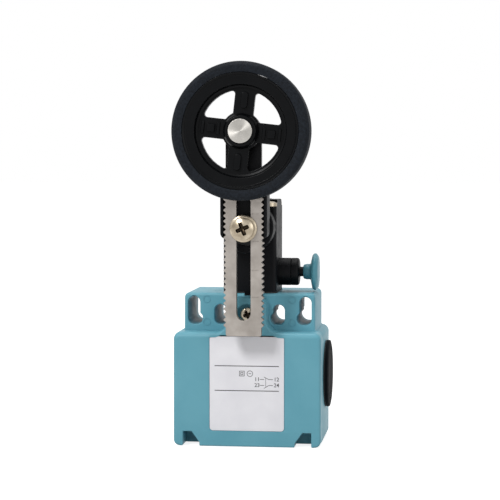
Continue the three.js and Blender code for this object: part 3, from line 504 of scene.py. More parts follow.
def rod_mesh(name, radius, start, end, axis="Y", origin=(0, 0, 0), sides=64):
    profile = [(0, start, 0), (radius, start, 0), (radius, end, 0), (0, end, 0)]
    return turned_mesh(name, profile, axis, origin, sides)


# %% [markdown]
# The housing base is one casting: a wide lower block with the wiring chamber and the two cable
# entries, and a narrower upper block with four slotted mounting holes. Its outline is carried
# from front to back; the edges of the upper block are rounded more than the seam with the cover.

# %% Housing base
BASE_NODES = [name for name in frame["nodes"] if name.startswith("base_")]
base_corners = np.array([extent(name) for name in BASE_NODES])
base_low, base_high = base_corners.min((0, 1)), base_corners.max((0, 1))
cover_low, cover_high = extent("front_cover")
BASE_FRONT, BASE_BACK = base_low[1], base_high[1]
SIDE, TOP = base_high[0], base_high[2]
BLOCK_TOP = 42.5
FLANGE_SIDE = 24.65
CHAMBER = [(15, 4, 0.5), (21, 8.5, 0.5), (21, 38, 1), (-21, 38, 1), (-21, 8.5, 0.5), (-15, 4, 0.5)]
CHAMBER_BACK = 12.0
SLOTS = [(21, 2.3, 47, 52.9), (11, 2.25, 47, 50)]
ROUND_SHIFT = 1.0
ENTRY_RADIUS, ENTRY_HEIGHT = 9.5, 25.0
PLUNGER_Y = -3.0


def mounting_slot(x, radius, low, high, side):
    """A slot whose foot is widened towards the middle by a second round hole."""
    shift = x - ROUND_SHIFT
    meet = math.degrees(math.acos((x - radius - shift) / radius))
    loop = np.vstack((
        arc((x, high), radius, 0, 180, 16),
        arc((shift, low), radius, meet, 270, 16),
        arc((x, low), radius, 270, 360, 10),
    ))
    return loop if side > 0 else loop[::-1] * (-1, 1)


def base_shell():
    corner = 1.8
    outline = rounded([
        (-SIDE, 0, corner), (SIDE, 0, corner), (SIDE, BLOCK_TOP, 2.6), (FLANGE_SIDE, BLOCK_TOP, 0.6),
        (FLANGE_SIDE, TOP, corner), (-FLANGE_SIDE, TOP, corner), (-FLANGE_SIDE, BLOCK_TOP, 0.6),
        (-SIDE, BLOCK_TOP, 2.6),
    ])
    upper = np.clip((outline[:, 1] - BLOCK_TOP) / 1.5, 0, 1)
    front_radius = 0.25 + 0.75 * upper
    stations = [(front_radius * out, BASE_FRONT + front_radius * depth) for out, depth in edge(1.0)]
    stations += [(out, BASE_BACK - depth) for out, depth in edge(0.6)[::-1]]
    shell = Shell()
    front, back = shell.wall(outline, stations)
    fronts, backs = [front], [back]
    for side in (-1, 1):
        for slot_size in SLOTS:
            loop = mounting_slot(*slot_size, side)
            wall = [(-o, BASE_FRONT + d) for o, d in edge(0.35)] + [(0, 5.0), (0.7, 5.0), (0.7, BASE_BACK)]
            ends = shell.wall(loop, wall)
            fronts.append(ends[0])
            backs.append(ends[1])
    mouth, floor = shell.wall(rounded(CHAMBER), [(0, BASE_FRONT), (0, CHAMBER_BACK)])
    fronts.append(mouth)
    shell.cap([floor])
    shell.cap(fronts)
    shell.cap(backs)
    return shell


base_cutters = [
    rod_mesh("entries", ENTRY_RADIUS, -SIDE - 2, SIDE + 2, "X", (0, 0, ENTRY_HEIGHT), 96),
    rod_mesh("passage", 4.5, 37, TOP + 1, "Z", (0, PLUNGER_Y, 0)),
    rod_mesh("insert_hole", 2.5, BASE_FRONT - 1, BASE_FRONT + 6, "Y", (0, 0, 49.1)),
    block_mesh("key_notch", (-2.0, BASE_FRONT - 1, 55.5), (5.1, -12.4, TOP + 1)),
]
for side in (-1, 1):
    base_cutters.append(block_mesh("top_slot", (side * 13.7 - 1.35, -2.6, TOP - 1.5),
                                   (side * 13.7 + 1.35, -1.4, TOP + 1)))
    for height in (45.4, 54.0):
        ring = [(1.15, BASE_FRONT - 0.5, 0), (1.45, BASE_FRONT - 0.5, 0), (1.45, BASE_FRONT + 0.2, 0),
                (1.15, BASE_FRONT + 0.2, 0)]
        base_cutters.append(turned_mesh("ejector_mark", ring, "Y", (side * 16, 0, height), 40))
base_mesh = combine(shell_mesh("base_casting", base_shell()), base_cutters)
piece("base_casting", base_mesh, "housing", teal_paint, BASE_NODES)

# %% [markdown]
# The cover is a second casting. Its tongue carries the screw, two notches are cut in its foot and
# the label sits in a shallow recess. The upper edge is rounded most, and its radius grows smoothly
# up the sides, so each point of the outline has a rounding radius of its own.

# %% Front cover
COVER_FRONT, COVER_BACK = cover_low[1], cover_high[1]
TONGUE_SIDE, TONGUE_TOP = 7.3, cover_high[2]
COVER_SCREW_Z = 49.1
label_low, label_high = extent("nameplate")
LABEL_RECESS = 0.4


def cover_outline():
    half = [(17.8, 0, 0.3), (17.8, 1.3, 0.5), (20.7, 5.4, 0.5), (24, 5.4, 0.2), (24, 0, 0.5),
            (SIDE, 0, 2.2), (SIDE, BLOCK_TOP, 2.6), (TONGUE_SIDE, BLOCK_TOP, 4.5),
            (TONGUE_SIDE, TONGUE_TOP, 3.5)]
    return rounded(half + [(-x, z, r) for x, z, r in half[::-1]])


def cover_shell():
    outline = cover_outline()
    near_top = np.clip((outline[:, 1] - 36) / 6.5, 0, 1)
    on_tongue = np.clip((TONGUE_SIDE + 5.5 - np.abs(outline[:, 0])) / 4, 0, 1) * (outline[:, 1] > 30)
    in_notch = (np.abs(outline[:, 0]) < 24.6) & (outline[:, 1] < 6)
    radius = 0.9 + 1.2 * near_top * near_top * (1 - on_tongue)
    radius = np.where(in_notch, 0.35, radius)
    stations = [(radius * out, COVER_FRONT + radius * depth) for out, depth in edge(1.0, 6)]
    stations += [(out, COVER_BACK - depth) for out, depth in edge(0.25)[::-1]]
    shell = Shell()
    front, back = shell.wall(outline, stations)
    recess = rectangle(label_low[0] - 0.15, label_high[0] + 0.15, label_low[2] - 0.15,
                       label_high[2] + 0.15, 1.3)
    lip = [(-o, COVER_FRONT + d) for o, d in edge(0.15)]
    label_mouth, label_floor = shell.wall(recess, lip + [(0, COVER_FRONT + LABEL_RECESS)])
    shell.cap([label_floor])
    seat = COVER_FRONT + 3
    lip = [(-o, COVER_FRONT + d) for o, d in edge(0.3)]
    screw_mouth, screw_floor = shell.wall(circle((0, COVER_SCREW_Z), 4), lip + [(0, seat)])
    hole_front, hole_back = shell.wall(circle((0, COVER_SCREW_Z), 1.65), [(0, seat), (0, COVER_BACK)])
    shell.cap([screw_floor, hole_front])
    cavity_mouth, cavity_floor = shell.wall(rounded(CHAMBER), [(0, COVER_BACK), (0, COVER_FRONT + 2.5)])
    shell.cap([cavity_floor])
    shell.cap([front, label_mouth, screw_mouth])
    shell.cap([back, hole_back, cavity_mouth])
    return shell


cover_mesh = shell_mesh("cover_casting", cover_shell())
piece("cover_casting", cover_mesh, "housing", teal_paint, ["front_cover"])

# %% [markdown]
# The label is a thin plate with rounded corners. Its print is only rules, a contact diagram and
# the plain numbers of the four terminals. Ink is modelled as very thin raised shapes, so that it
# stays sharp at any distance.

# %% Label and print
LABEL_FRONT = label_low[1]
label_outline = rectangle(label_low[0], label_high[0], label_low[2], label_high[2], 1.2)
label_shell = plate_shell(label_outline, [], LABEL_FRONT, label_high[1], 0.06, 0.02)
piece("label_plate", shell_mesh("label_plate", label_shell), "housing", label_film,
      ["nameplate"])
LABEL_CENTRE = (label_low[0] + label_high[0]) / 2
PRINT_FRONT = LABEL_FRONT - 0.015


def print_line(start, end, width=0.2):
    """A printed line as the outline of a thin bar between two points."""
    start, end = np.array(start, float), np.array(end, float)
    along = (end - start) / np.linalg.norm(end - start)
    across = np.array((-along[1], along[0])) * width / 2
    return np.array((start - across, end - across, end + across, start + across))


RULE_HALF = 12.0
RULES = [30.1, 20.9]
DIAGRAM_LEFT, DIAGRAM_RIGHT = 4.9, 9.8
UPPER_CONTACT, LOWER_CONTACT = 25.2, 23.0
print_bars = [print_line((-RULE_HALF, z), (RULE_HALF, z), 0.3) for z in RULES]
for z, lift in ((UPPER_CONTACT, 0.95), (LOWER_CONTACT, -1.1)):
    middle = (DIAGRAM_LEFT + DIAGRAM_RIGHT) / 2
    print_bars.append(print_line((DIAGRAM_LEFT, z), (middle - 0.8, z)))
    print_bars.append(print_line((middle + 0.8, z), (DIAGRAM_RIGHT, z)))
    print_bars.append(print_line((middle + 0.9, z), (middle - 0.9, z + lift)))
print_bars.append(print_line((7.1, UPPER_CONTACT + 0.6), (7.1, LOWER_CONTACT - 0.4), 0.14))
print_shell = Shell()
for bar in print_bars:
    front, back = print_shell.wall(bar + (LABEL_CENTRE, 0), [(0, PRINT_FRONT), (0, LABEL_FRONT + 0.01)])
    print_shell.cap([front])
    print_shell.cap([back])
MARK_HEIGHT = 27.3
frames = [(rectangle(x - h, x + h, MARK_HEIGHT - h, MARK_HEIGHT + h), rectangle(x - h + 0.2, x + h - 0.2,
           MARK_HEIGHT - h + 0.2, MARK_HEIGHT + h - 0.2)) for x, h in ((-1.8, 1.0), (-1.8, 0.5))]
frames.append((circle((1.2, MARK_HEIGHT), 1.15, 40), circle((1.2, MARK_HEIGHT), 0.95, 40)))
for outer, inner in frames:
    walls = [print_shell.wall(loop + (LABEL_CENTRE, 0), [(0, PRINT_FRONT), (0, LABEL_FRONT + 0.01)])
             for loop in (outer, inner)]
    print_shell.cap([front for front, _ in walls])
    print_shell.cap([back for _, back in walls])
front, back = print_shell.wall(print_line((0.7, MARK_HEIGHT), (1.7, MARK_HEIGHT)) + (LABEL_CENTRE, 0),
                               [(0, PRINT_FRONT), (0, LABEL_FRONT + 0.01)])
print_shell.cap([front])
print_shell.cap([back])
piece("label_rules", shell_mesh("label_rules", print_shell), "housing", ink)


def printed_number(text, x, z, height):
    """A number as flat text, made a mesh and laid on the label's face."""
    curve = bpy.data.curves.new("number", "FONT")
    curve.body, curve.size = text, height * MM
    curve.align_x, curve.align_y = "CENTER", "CENTER"
    curve.extrude = 0.01 * MM
    curve.offset = 0.02 * MM
    writer = bpy.data.objects.new("number", curve)
    bpy.context.scene.collection.objects.link(writer)
    view = bpy.context.evaluated_depsgraph_get()
    mesh = bpy.data.meshes.new_from_object(writer.evaluated_get(view))
    bpy.data.objects.remove(writer)
    place = Matrix.Translation(Vector(((x + LABEL_CENTRE) * MM, PRINT_FRONT * MM, z * MM)))
    mesh.transform(place @ Matrix.Rotation(math.pi / 2, 4, "X"))
    return mesh


for number, x, z in (("11", 3.9, UPPER_CONTACT), ("12", 11.1, UPPER_CONTACT), ("23", 3.9, LOWER_CONTACT),
                     ("24", 11.1, LOWER_CONTACT)):
    piece(f"label_number_{number}", printed_number(number, x, z, 2.0), "housing", ink)

# %% [markdown]
# Every screw here has a domed or flat head with a cross recess. The head's face is a disc in
# polar coordinates, and its height is worked out at each point: a dome, less a cross whose arms
# slope to the centre. The rim and the shank follow as a turned profile on the same spokes.


# %% Screws
def screw_mesh(name, head_radius, head_height, dome, recess, arm, reach, turn, shank_radius,
               shank_length, axis="Y", origin=(0, 0, 0), facing=-1, slot_arm=0.0):
    """A screw whose head starts at w = 0 and rises to head_height, with its shank the other way.

    Face height at (r, t): head_height - dome (r/R)^2 - recess * cross(u, v), where the cross is 1
    inside the arms and falls to 0 over a narrow edge, and is shallower towards the arms' ends.
    """
    spokes = 160
    radii = np.concatenate((np.linspace(0.03, 0.86, 34), np.linspace(0.88, 1.0, 7))) * head_radius
    angle = np.linspace(0, 2 * np.pi, spokes, endpoint=False)
    u, v = radii[:, None] * np.cos(angle), radii[:, None] * np.sin(angle)
    c, s = math.cos(math.radians(turn)), math.sin(math.radians(turn))
    along, across = np.abs(c * u + s * v), np.abs(-s * u + c * v)
    soft = 0.09 * head_radius

    def bar(length, width, reach_of):
        inside = np.clip((arm * width - across_of[reach_of]) / soft + 0.5, 0, 1)
        return inside * np.clip((length - along_of[reach_of]) / soft, 0, 1)

    across_of, along_of = (across, along), (along, across)
    cross = np.maximum(bar(reach, 1, 0), bar(reach, 1, 1))
    taper = 1 - 0.55 * np.clip(radii[:, None] / reach, 0, 1)
    height = head_height - dome * (radii[:, None] / head_radius) ** 2 - recess * cross * taper
    if slot_arm:
        slot_cut = np.clip((0.8 * arm - across) / soft + 0.5, 0, 1) * (along < slot_arm) * 0.45 * recess
        height = np.minimum(height, head_height - dome * (radii[:, None] / head_radius) ** 2 - slot_cut)
    rim = head_height - dome
    side = [(head_radius, rim * 0.85), (head_radius, 0.02), (head_radius * 0.97, 0), (shank_radius, 0),
            (shank_radius, -shank_length + 0.4), (shank_radius - 0.35, -shank_length)]
    side_r = np.array([p[0] for p in side])[:, None]
    side_w = np.array([p[1] for p in side])[:, None] + 0 * angle
    u = np.vstack((u, side_r * np.cos(angle)))
    v = np.vstack((v, side_r * np.sin(angle)))
    w = np.vstack((height, side_w)) * facing
    rows = len(w)
    points = np.stack((u, v, w), -1).reshape(-1, 3)
    i, j = np.meshgrid(np.arange(rows - 1), np.arange(spokes), indexing="ij")
    nxt = (j + 1) % spokes
    quads = np.stack((i * spokes + j, (i + 1) * spokes + j, (i + 1) * spokes + nxt, i * spokes + nxt), -1)
    faces = quads.reshape(-1, 4).tolist() + [list(range(spokes)), list(range((rows - 1) * spokes,
                                                                            rows * spokes))]
    mesh = mesh_from(name, points, faces, axis, origin, 40)
    mark_recess(mesh, axis, origin, facing, head_height, dome, head_radius)
    return mesh


def mark_recess(mesh, axis, origin, facing, head_height, dome, head_radius):
    """Write 1 on the points that lie well below the head's dome, and 0 on the others; the nickel finish
    paints shade where it is 1.
    """
    co = np.empty(len(mesh.vertices) * 3, np.float32)
    mesh.vertices.foreach_get("co", co)
    local = co.reshape(-1, 3) / MM - np.asarray(origin, float)
    u, v, w = (local[:, AXES[axis].index(i)] for i in range(3))
    radius = np.hypot(u, v)
    depth = head_height - dome * (radius / head_radius) ** 2 - w * facing
    value = np.clip(depth / 0.5, 0, 1) * (radius < 0.85 * head_radius) * (w * facing > 0)
    mesh.attributes.new("recess", "FLOAT", "POINT").data.foreach_set("value", value.astype(np.float32))


cover_screw_back = extent("cover_screw")[1][1]
mesh = screw_mesh("cover_screw_turned", 2.6, 1.9, 0.7, 1.1, 0.42, 1.5, 20, 1.35,
                  cover_screw_back - COVER_FRONT - 3, "Y", (0, COVER_FRONT + 3, COVER_SCREW_Z))
piece("cover_screw_turned", mesh, "housing", nickel, ["cover_screw"])

for i in range(1, 5):
    low, high = extent(f"head_screw_{i}")
    centre = (low + high) / 2
    seat = high[2] - 2
    mesh = screw_mesh(f"head_screw_turned_{i}", 2.8, 1.95, 0.6, 1.1, 0.42, 1.6, 15 + 20 * i, 1.3,
                      seat - low[2], "Z", (centre[0], centre[1], seat), 1)
    piece(f"head_screw_turned_{i}", mesh, "housing", nickel, [f"head_screw_{i}"])

# %% [markdown]
# The head is a black painted casting: an upright block with four corner pockets for its screws,
# a round boss in front for the lever's shaft and a smaller one at the side for the reset knob.
# The block and the bosses are joined, then the pockets, bores and the space inside are cut.

# %% Head
head_low, head_high = extent("head_shell")
HEAD_SIDE, HEAD_FRONT, HEAD_BACK = 10.0, -14.4, head_high[1]
HEAD_BOTTOM, HEAD_TOP = TOP + 0.5, head_high[2]
BOSS_FRONT, BOSS_RADIUS = head_low[1], 9.8
SHAFT_Z, RESET_Z = 81.5, 64.0
SCREW_SEAT = HEAD_TOP - 2.5
SCREW_PLACES = [(x, y) for x in (-7.2, 7.2) for y in (-11.5, 5.1)]

plan = rectangle(-HEAD_SIDE, HEAD_SIDE, HEAD_FRONT, HEAD_BACK, 1.3)
head_mesh = shell_mesh("head_casting", plate_shell(plan, [], HEAD_BOTTOM, HEAD_TOP, 0.15, 0.5), "Z")
boss_profile = [(0, HEAD_FRONT + 2, 0), (BOSS_RADIUS, HEAD_FRONT + 2, 0), (BOSS_RADIUS, BOSS_FRONT, 0.5),
                (0, BOSS_FRONT, 0)]
side_boss = [(0, HEAD_SIDE - 2, 0), (5.2, HEAD_SIDE - 2, 0), (5.2, 14.7, 0.25), (0, 14.7, 0)]
head_mesh = combine(head_mesh, [
    turned_mesh("front_boss", boss_profile, "Y", (0, 0, SHAFT_Z), 128),
    turned_mesh("side_boss", side_boss, "X", (0, PLUNGER_Y, RESET_Z), 96),
    block_mesh("key", (-1.9, HEAD_FRONT + 0.02, TOP - 0.9), (5.0, HEAD_FRONT + 1.9, HEAD_BOTTOM + 1)),
], "UNION")
head_cutters = [
    block_mesh("bay", (-5.3, PLUNGER_Y - 5.3, TOP - 2), (5.3, PLUNGER_Y + 5.3, 76.5)),
    rod_mesh("cam_space", 7.6, -9.2, 3.0, "Y", (0, 0, SHAFT_Z), 96),
    rod_mesh("bush_bore", 6.0, BOSS_FRONT - 1, -8, "Y", (0, 0, SHAFT_Z), 96),
    rod_mesh("seal_bore", 7.0, BOSS_FRONT - 1, BOSS_FRONT + 2, "Y", (0, 0, SHAFT_Z), 96),
    rod_mesh("tail_bore", 2.8, 2.0, 6.3, "Y", (0, 0, SHAFT_Z)),
    rod_mesh("reset_bore", 4.0, 4.3, 16.0, "X", (0, PLUNGER_Y, RESET_Z), 96),
]


def pocket_outline(x, y):
    """A round pocket about (x, y) that is opened square to the head's nearest corner."""
    reach = 3.9
    corner = [(reach, 0), (reach, reach), (0, reach)]
    loop = np.vstack((corner, arc((0, 0), 2.95, 90, 360, 24)))
    side = (math.copysign(1, x), 1 if y > -3 else -1)
    loop = loop * side + (x, y)
    return loop if side[0] * side[1] > 0 else loop[::-1]


for x, y in SCREW_PLACES:
    pocket = plate_shell(pocket_outline(x, y), [], SCREW_SEAT, HEAD_TOP + 1, 1e-3, 1e-3)
    head_cutters.append(shell_mesh("pocket", pocket, "Z"))
    head_cutters.append(rod_mesh("screw_hole", 1.6, HEAD_BOTTOM - 1, SCREW_SEAT + 0.5, "Z", (x, y, 0), 32))
head_mesh = combine(head_mesh, head_cutters)
piece("head_casting", head_mesh, "housing", black_paint, ["head_shell"])

# %% [markdown]
# The reset knob is a turned teal button on a black rod. A bush screwed into the head's side boss
# guides it; its rim is slightly thicker and is seen as a step beside the boss.

# %% Reset bush, rod and knob
RESET_AXIS = (0, PLUNGER_Y, RESET_Z)
bush_profile = [(2.15, 11, 0), (3.9, 11, 0.2), (3.9, 14.7, 0), (5.2, 14.7, 0.25), (5.2, 17.7, 0.9),
                (2.15, 17.7, 0.2)]
piece("reset_bush_turned", turned_mesh("reset_bush_turned", bush_profile, "X", RESET_AXIS), "housing",
      black_paint, ["reset_bush"])
rod_low, rod_high = extent("reset_rod")
rod_profile = [(0, rod_low[0], 0), (1.5, rod_low[0], 0.4), (1.5, 5.6, 0), (3.5, 5.6, 0.1), (3.5, 6.4, 0.1),
               (1.85, 6.4, 0), (1.85, rod_high[0], 0.2), (0, rod_high[0], 0)]
piece("reset_rod_turned", turned_mesh("reset_rod_turned", rod_profile, "X", RESET_AXIS), "reset_button",
      black_paint, ["reset_rod"])
knob_low, knob_high = extent("reset_knob")
KNOB_END, KNOB_RADIUS = knob_high[0], (knob_high[2] - knob_low[2]) / 2
knob_profile = [(0, 24.0, 0), (1.95, 24.0, 0), (1.95, knob_low[0], 0.1), (2.6, knob_low[0], 0.5),
                (2.95, 20.4, 0.4), (2.95, 21.9, 0.5), (KNOB_RADIUS - 0.6, 22.7, 0.5),
                (KNOB_RADIUS, 23.3, 0.5), (KNOB_RADIUS, 24.2, 0.5), (KNOB_RADIUS - 1.2, KNOB_END - 0.1, 0.8),
                (0, KNOB_END, 0)]
piece("reset_knob_turned", turned_mesh("reset_knob_turned", knob_profile, "X", RESET_AXIS),
      "reset_button", teal_plastic, ["reset_knob"])

# %% [markdown]
# The right cable entry is closed by a moulded plug with a coin slot; the left one is open.

# %% Conduit plug
plug_low, plug_high = extent("conduit_plug")
PLUG_RADIUS, PLUG_FACE = (plug_high[2] - plug_low[2]) / 2, plug_high[0]
plug_profile = [(0, 26.6, 0), (7.4, 26.6, 0), (7.4, plug_low[0], 0.2), (9.2, plug_low[0], 0.3),
                (9.2, 28.0, 0), (PLUG_RADIUS, 28.0, 0.15), (PLUG_RADIUS, PLUG_FACE - 0.35, 0.35),
                (PLUG_RADIUS - 1.6, PLUG_FACE, 0.3), (0, PLUG_FACE, 0)]
plug_mesh = turned_mesh("plug_moulding", plug_profile, "X", (0, 0, ENTRY_HEIGHT), 128)
plug_cuts = [
    block_mesh("coin_slot", (PLUG_FACE - 0.9, -1.1, ENTRY_HEIGHT - 8),
               (PLUG_FACE + 1, 1.1, ENTRY_HEIGHT + 8)),
    turned_mesh("groove", [(9.4, PLUG_FACE - 0.3, 0), (10.0, PLUG_FACE - 0.3, 0), (10.0, PLUG_FACE + 1, 0),
                           (9.4, PLUG_FACE + 1, 0)], "X", (0, 0, ENTRY_HEIGHT), 128),
]
piece("plug_moulding", combine(plug_mesh, plug_cuts), "housing", plug_plastic,
      ["conduit_plug"])

# %% [markdown]
# The carrier is a black channel fixed to the shaft. The lever lies in it, between two thin
# flanges, and the clamp screw holds both through the lever's slot.

# %% Carrier, washer and clamp screw
carrier_low, carrier_high = extent("lever_carrier")
lever_low, lever_high = extent("lever_bar")
LEVER_FRONT, LEVER_BACK = lever_low[1], lever_high[1]
channel = carrier_high[0] - 1.0
outline = rectangle(carrier_low[0], carrier_high[0], carrier_low[2], carrier_high[2], 2.2)
carrier_mesh = shell_mesh("carrier_casting",
                          plate_shell(outline, [], carrier_low[1], carrier_high[1], 0.25, 0.5))
carrier_mesh = combine(carrier_mesh, [
    block_mesh("channel", (-channel, carrier_low[1] - 1, carrier_low[2] - 1),
               (channel, LEVER_BACK, carrier_high[2] + 1)),
    rod_mesh("shaft_hole", 4.1, -29.1, carrier_high[1] + 1, "Y", (0, 0, SHAFT_Z), 64),
    rod_mesh("screw_hole", 2.6, LEVER_BACK - 1, -28, "Y", (0, 0, SHAFT_Z), 64),
])
piece("carrier_casting", carrier_mesh, "swing_arm", black_paint, ["lever_carrier"])

WASHER_FRONT = LEVER_FRONT - 1.0
washer_profile = [(2.6, LEVER_FRONT, 0.1), (5.0, LEVER_FRONT, 0.1), (5.0, WASHER_FRONT + 0.25, 0.15),
                  (4.4, WASHER_FRONT, 0.15), (2.6, WASHER_FRONT, 0.1)]
piece("clamp_washer_turned", turned_mesh("clamp_washer_turned", washer_profile, "Y", (0, 0, SHAFT_Z)),
      "swing_arm", nickel, ["clamp_washer"])
clamp_low, clamp_high = extent("clamp_screw")
mesh = screw_mesh("clamp_screw_turned", 4.0, WASHER_FRONT - clamp_low[1] - 0.05, 1.1, 2.0, 0.55, 2.5, 22,
                  2.3, clamp_high[1] - WASHER_FRONT, "Y", (0, WASHER_FRONT, SHAFT_Z), -1)
piece("clamp_screw_turned", mesh, "swing_arm", nickel, ["clamp_screw"])

# %% [markdown]
# The lever is stamped from steel strip. Its teeth stand 2 mm apart on both edges, a long slot
# lets it slide on the clamp screw, and its upper end is rounded about the roller's pin. A short
# graduation is pressed into the right arm every 10 mm.

# %% Lever bar
ROLLER_Z = SHAFT_Z + 35.3
ROOT, TOOTH, PITCH = 6.55, 0.8, 2.0
FIRST_TOOTH, TOOTH_COUNT = SHAFT_Z - 36.4, 25
SLOT_HALF, SLOT_LOW, SLOT_HIGH = 2.6, SHAFT_Z - 33.6, SHAFT_Z + 12.0
GRADUATIONS = [86.9, 76.9, 66.3, 56.5]


def toothed_edge():
    """One edge's teeth: out = root + tooth height at each crest, with flats a quarter pitch long."""
    start = FIRST_TOOTH + PITCH * np.repeat(np.arange(TOOTH_COUNT), 4)
    step = np.tile((0.1, 0.42, 0.62, 0.94), TOOTH_COUNT) * PITCH
    out = ROOT + TOOTH * np.tile((0, 1, 1, 0), TOOTH_COUNT)
    return np.column_stack((out, start + step))


right_edge = toothed_edge()
lever_outline = np.vstack((
    arc((ROOT - 0.8, lever_low[2] + 0.8), 0.8, -90, 0, 4), right_edge,
    arc((0, ROLLER_Z), ROOT, 0, 180, 32), (right_edge * (-1, 1))[::-1],
    arc((0.8 - ROOT, lever_low[2] + 0.8), 0.8, 180, 270, 4),
))
slot_outline = np.vstack((arc((0, SLOT_HIGH - SLOT_HALF), SLOT_HALF, 0, 180, 20),
                          arc((0, SLOT_LOW + SLOT_HALF), SLOT_HALF, 180, 360, 20)))
lever_shell = plate_shell(lever_outline, [slot_outline, circle((0, ROLLER_Z), 3.0)], LEVER_FRONT,
                          LEVER_BACK, 0.18, 0.18)
marks = [block_mesh("mark", (3.1, LEVER_FRONT - 1, z - 0.13), (5.7, LEVER_FRONT + 0.3, z + 0.13))
         for z in GRADUATIONS]
lever_mesh = combine(shell_mesh("lever_strip", lever_shell), marks)
piece("lever_strip", lever_mesh, "lever_arm", lever_steel, ["lever_bar"])

# %% [markdown]
# The roller has three visible parts: a rubber tyre with finely ribbed tread, a moulded hub whose
# rim, web and boss step back towards the middle, and the turned pin. The hub's web is a plate
# with four windows; its ribs and recesses are small pads on the spokes.

# %% Roller
roller_low, roller_high = extent("roller_tyre")
ROLLER_FRONT, ROLLER_BACK = roller_low[1], roller_high[1]
ROLLER_RADIUS = (roller_high[2] - roller_low[2]) / 2
ROLLER_AXIS = (0, 0, ROLLER_Z)
TYRE_INNER = 21.1
SPOKE_TURN, SPOKE_WIDTH = -6.5, 7.3
WEB_FRONT, WEB_BACK = -40.4, -37.6
WINDOW_INNER, WINDOW_OUTER = 7.1, 14.8

tread = [(ROLLER_RADIUS - 0.12 * (i % 2), y, 0.05)
         for i, y in enumerate(np.linspace(ROLLER_FRONT + 1.6, ROLLER_BACK - 1.6, 15))]
tyre_profile = [(TYRE_INNER, ROLLER_FRONT + 0.1, 0.15), (ROLLER_RADIUS - 1.3, ROLLER_FRONT, 0.5),
                (ROLLER_RADIUS - 0.2, ROLLER_FRONT + 0.9, 0.5), *tread,
                (ROLLER_RADIUS - 0.2, ROLLER_BACK - 0.9, 0.5), (ROLLER_RADIUS - 1.3, ROLLER_BACK, 0.5),
                (TYRE_INNER, ROLLER_BACK - 0.1, 0.15)]
piece("tyre_moulding", turned_mesh("tyre_moulding", tyre_profile, "Y", ROLLER_AXIS, 160, 3),
      "roller", tyre_rubber, ["roller_tyre"])

rim_profile = [(21.0, ROLLER_FRONT + 0.25, 0.1), (20.85, ROLLER_FRONT + 0.1, 0.15),
               (20.3, ROLLER_FRONT + 0.55, 0.5), (19.8, ROLLER_FRONT + 1.05, 0.25),
               (16.7, ROLLER_FRONT + 1.0, 0.35),
               (16.4, WEB_FRONT - 0.2, 0.3), (15.6, WEB_FRONT, 0.1), (15.6, WEB_BACK, 0.1),
               (16.5, WEB_BACK, 0.3), (16.7, ROLLER_BACK - 0.7, 0.35), (21.0, ROLLER_BACK - 0.6, 0.2)]
piece("hub_rim", turned_mesh("hub_rim", rim_profile, "Y", ROLLER_AXIS, 160), "roller", black_plastic,
      ["roller_hub"])


def window(quadrant):
    """A rounded sector between two spokes, from the boss to the rim."""
    half = SPOKE_WIDTH / 2
    turn = math.radians(90 * quadrant + SPOKE_TURN)
    outer, inner = math.asin(half / WINDOW_OUTER), math.asin(half / WINDOW_INNER)
    outer_arc = np.linspace(turn + outer, turn + math.pi / 2 - outer, 9)
    inner_arc = np.linspace(turn + math.pi / 2 - inner, turn + inner, 4)
    corners = [(WINDOW_OUTER * math.cos(a), WINDOW_OUTER * math.sin(a)) for a in outer_arc]
    corners += [(WINDOW_INNER * math.cos(a), WINDOW_INNER * math.sin(a)) for a in inner_arc]
    sizes = [1.1] + [0.0] * 7 + [1.1] + [0.5] + [0.0] * 2 + [0.5]
    return rounded([(u, v, r) for (u, v), r in zip(corners, sizes)], 6)


web = plate_shell(circle((0, 0), 16.0, 128), [window(i) for i in range(4)] + [circle((0, 0), 4.5)],
                  WEB_FRONT, WEB_BACK, 0.3, 0.3)
piece("hub_web", shell_mesh("hub_web", web, "Y", ROLLER_AXIS), "roller", black_plastic)
boss_profile = [(3.2, -43.1, 0.15), (5.5, -43.1, 0.5), (6.3, -41.6, 0.5), (6.5, WEB_FRONT + 0.1, 0),
                (6.5, WEB_BACK - 0.1, 0), (6.2, -34.8, 0.3), (3.2, -34.8, 0.1)]
piece("hub_boss", turned_mesh("hub_boss", boss_profile, "Y", ROLLER_AXIS, 96), "roller", black_plastic)


def spoke_pad(middle, length, width, quadrant, radius):
    """The outline of a pad on a spoke: its length runs out from the axis, centred at a radius."""
    loop = rectangle(middle - length / 2, middle + length / 2, -width / 2, width / 2, radius, 6)
    a = math.radians(90 * quadrant + SPOKE_TURN)
    return loop @ np.array(((math.cos(a), math.sin(a)), (-math.sin(a), math.cos(a))))


pads = Shell()
PAD_RISE, RIB_RISE = 0.5, 1.3
pad_list = [(11.2, 6.0, 2.4, quadrant, 1.1, RIB_RISE) for quadrant in (1, 3)]
for quadrant in (0, 2):
    pad_list += [(11.0, 2.9, 2.9, quadrant, 0.3, RIB_RISE), (8.3, 1.2, 4.6, quadrant, 0.25, PAD_RISE),
                 (14.0, 1.2, 4.6, quadrant, 0.25, PAD_RISE)]
for middle, length, width, quadrant, radius, rise in pad_list:
    loop = spoke_pad(middle, length, width, quadrant, radius)
    top = [(out, WEB_FRONT - rise + depth) for out, depth in edge(0.25)]
    front, back = pads.wall(loop, top + [(0, WEB_FRONT + 0.3)])
    pads.cap([front])
    pads.cap([back])
piece("hub_ribs", shell_mesh("hub_ribs", pads, "Y", ROLLER_AXIS), "roller", black_plastic)

axle_low, axle_high = extent("roller_axle")
axle_profile = [(0, axle_low[1], 0), (4.4, axle_low[1], 0.2), (4.4, axle_low[1] + 0.6, 0.05),
                (2.9, axle_low[1] + 0.6, 0), (2.9, axle_high[1], 0.3), (0, axle_high[1], 0)]
piece("pin_turned", turned_mesh("pin_turned", axle_profile, "Y", ROLLER_AXIS), "lever_arm", faced_pin,
      ["roller_axle"])

# %% [markdown]
# The pieces inside the switch keep their exact shapes from the frame and only get a finish.

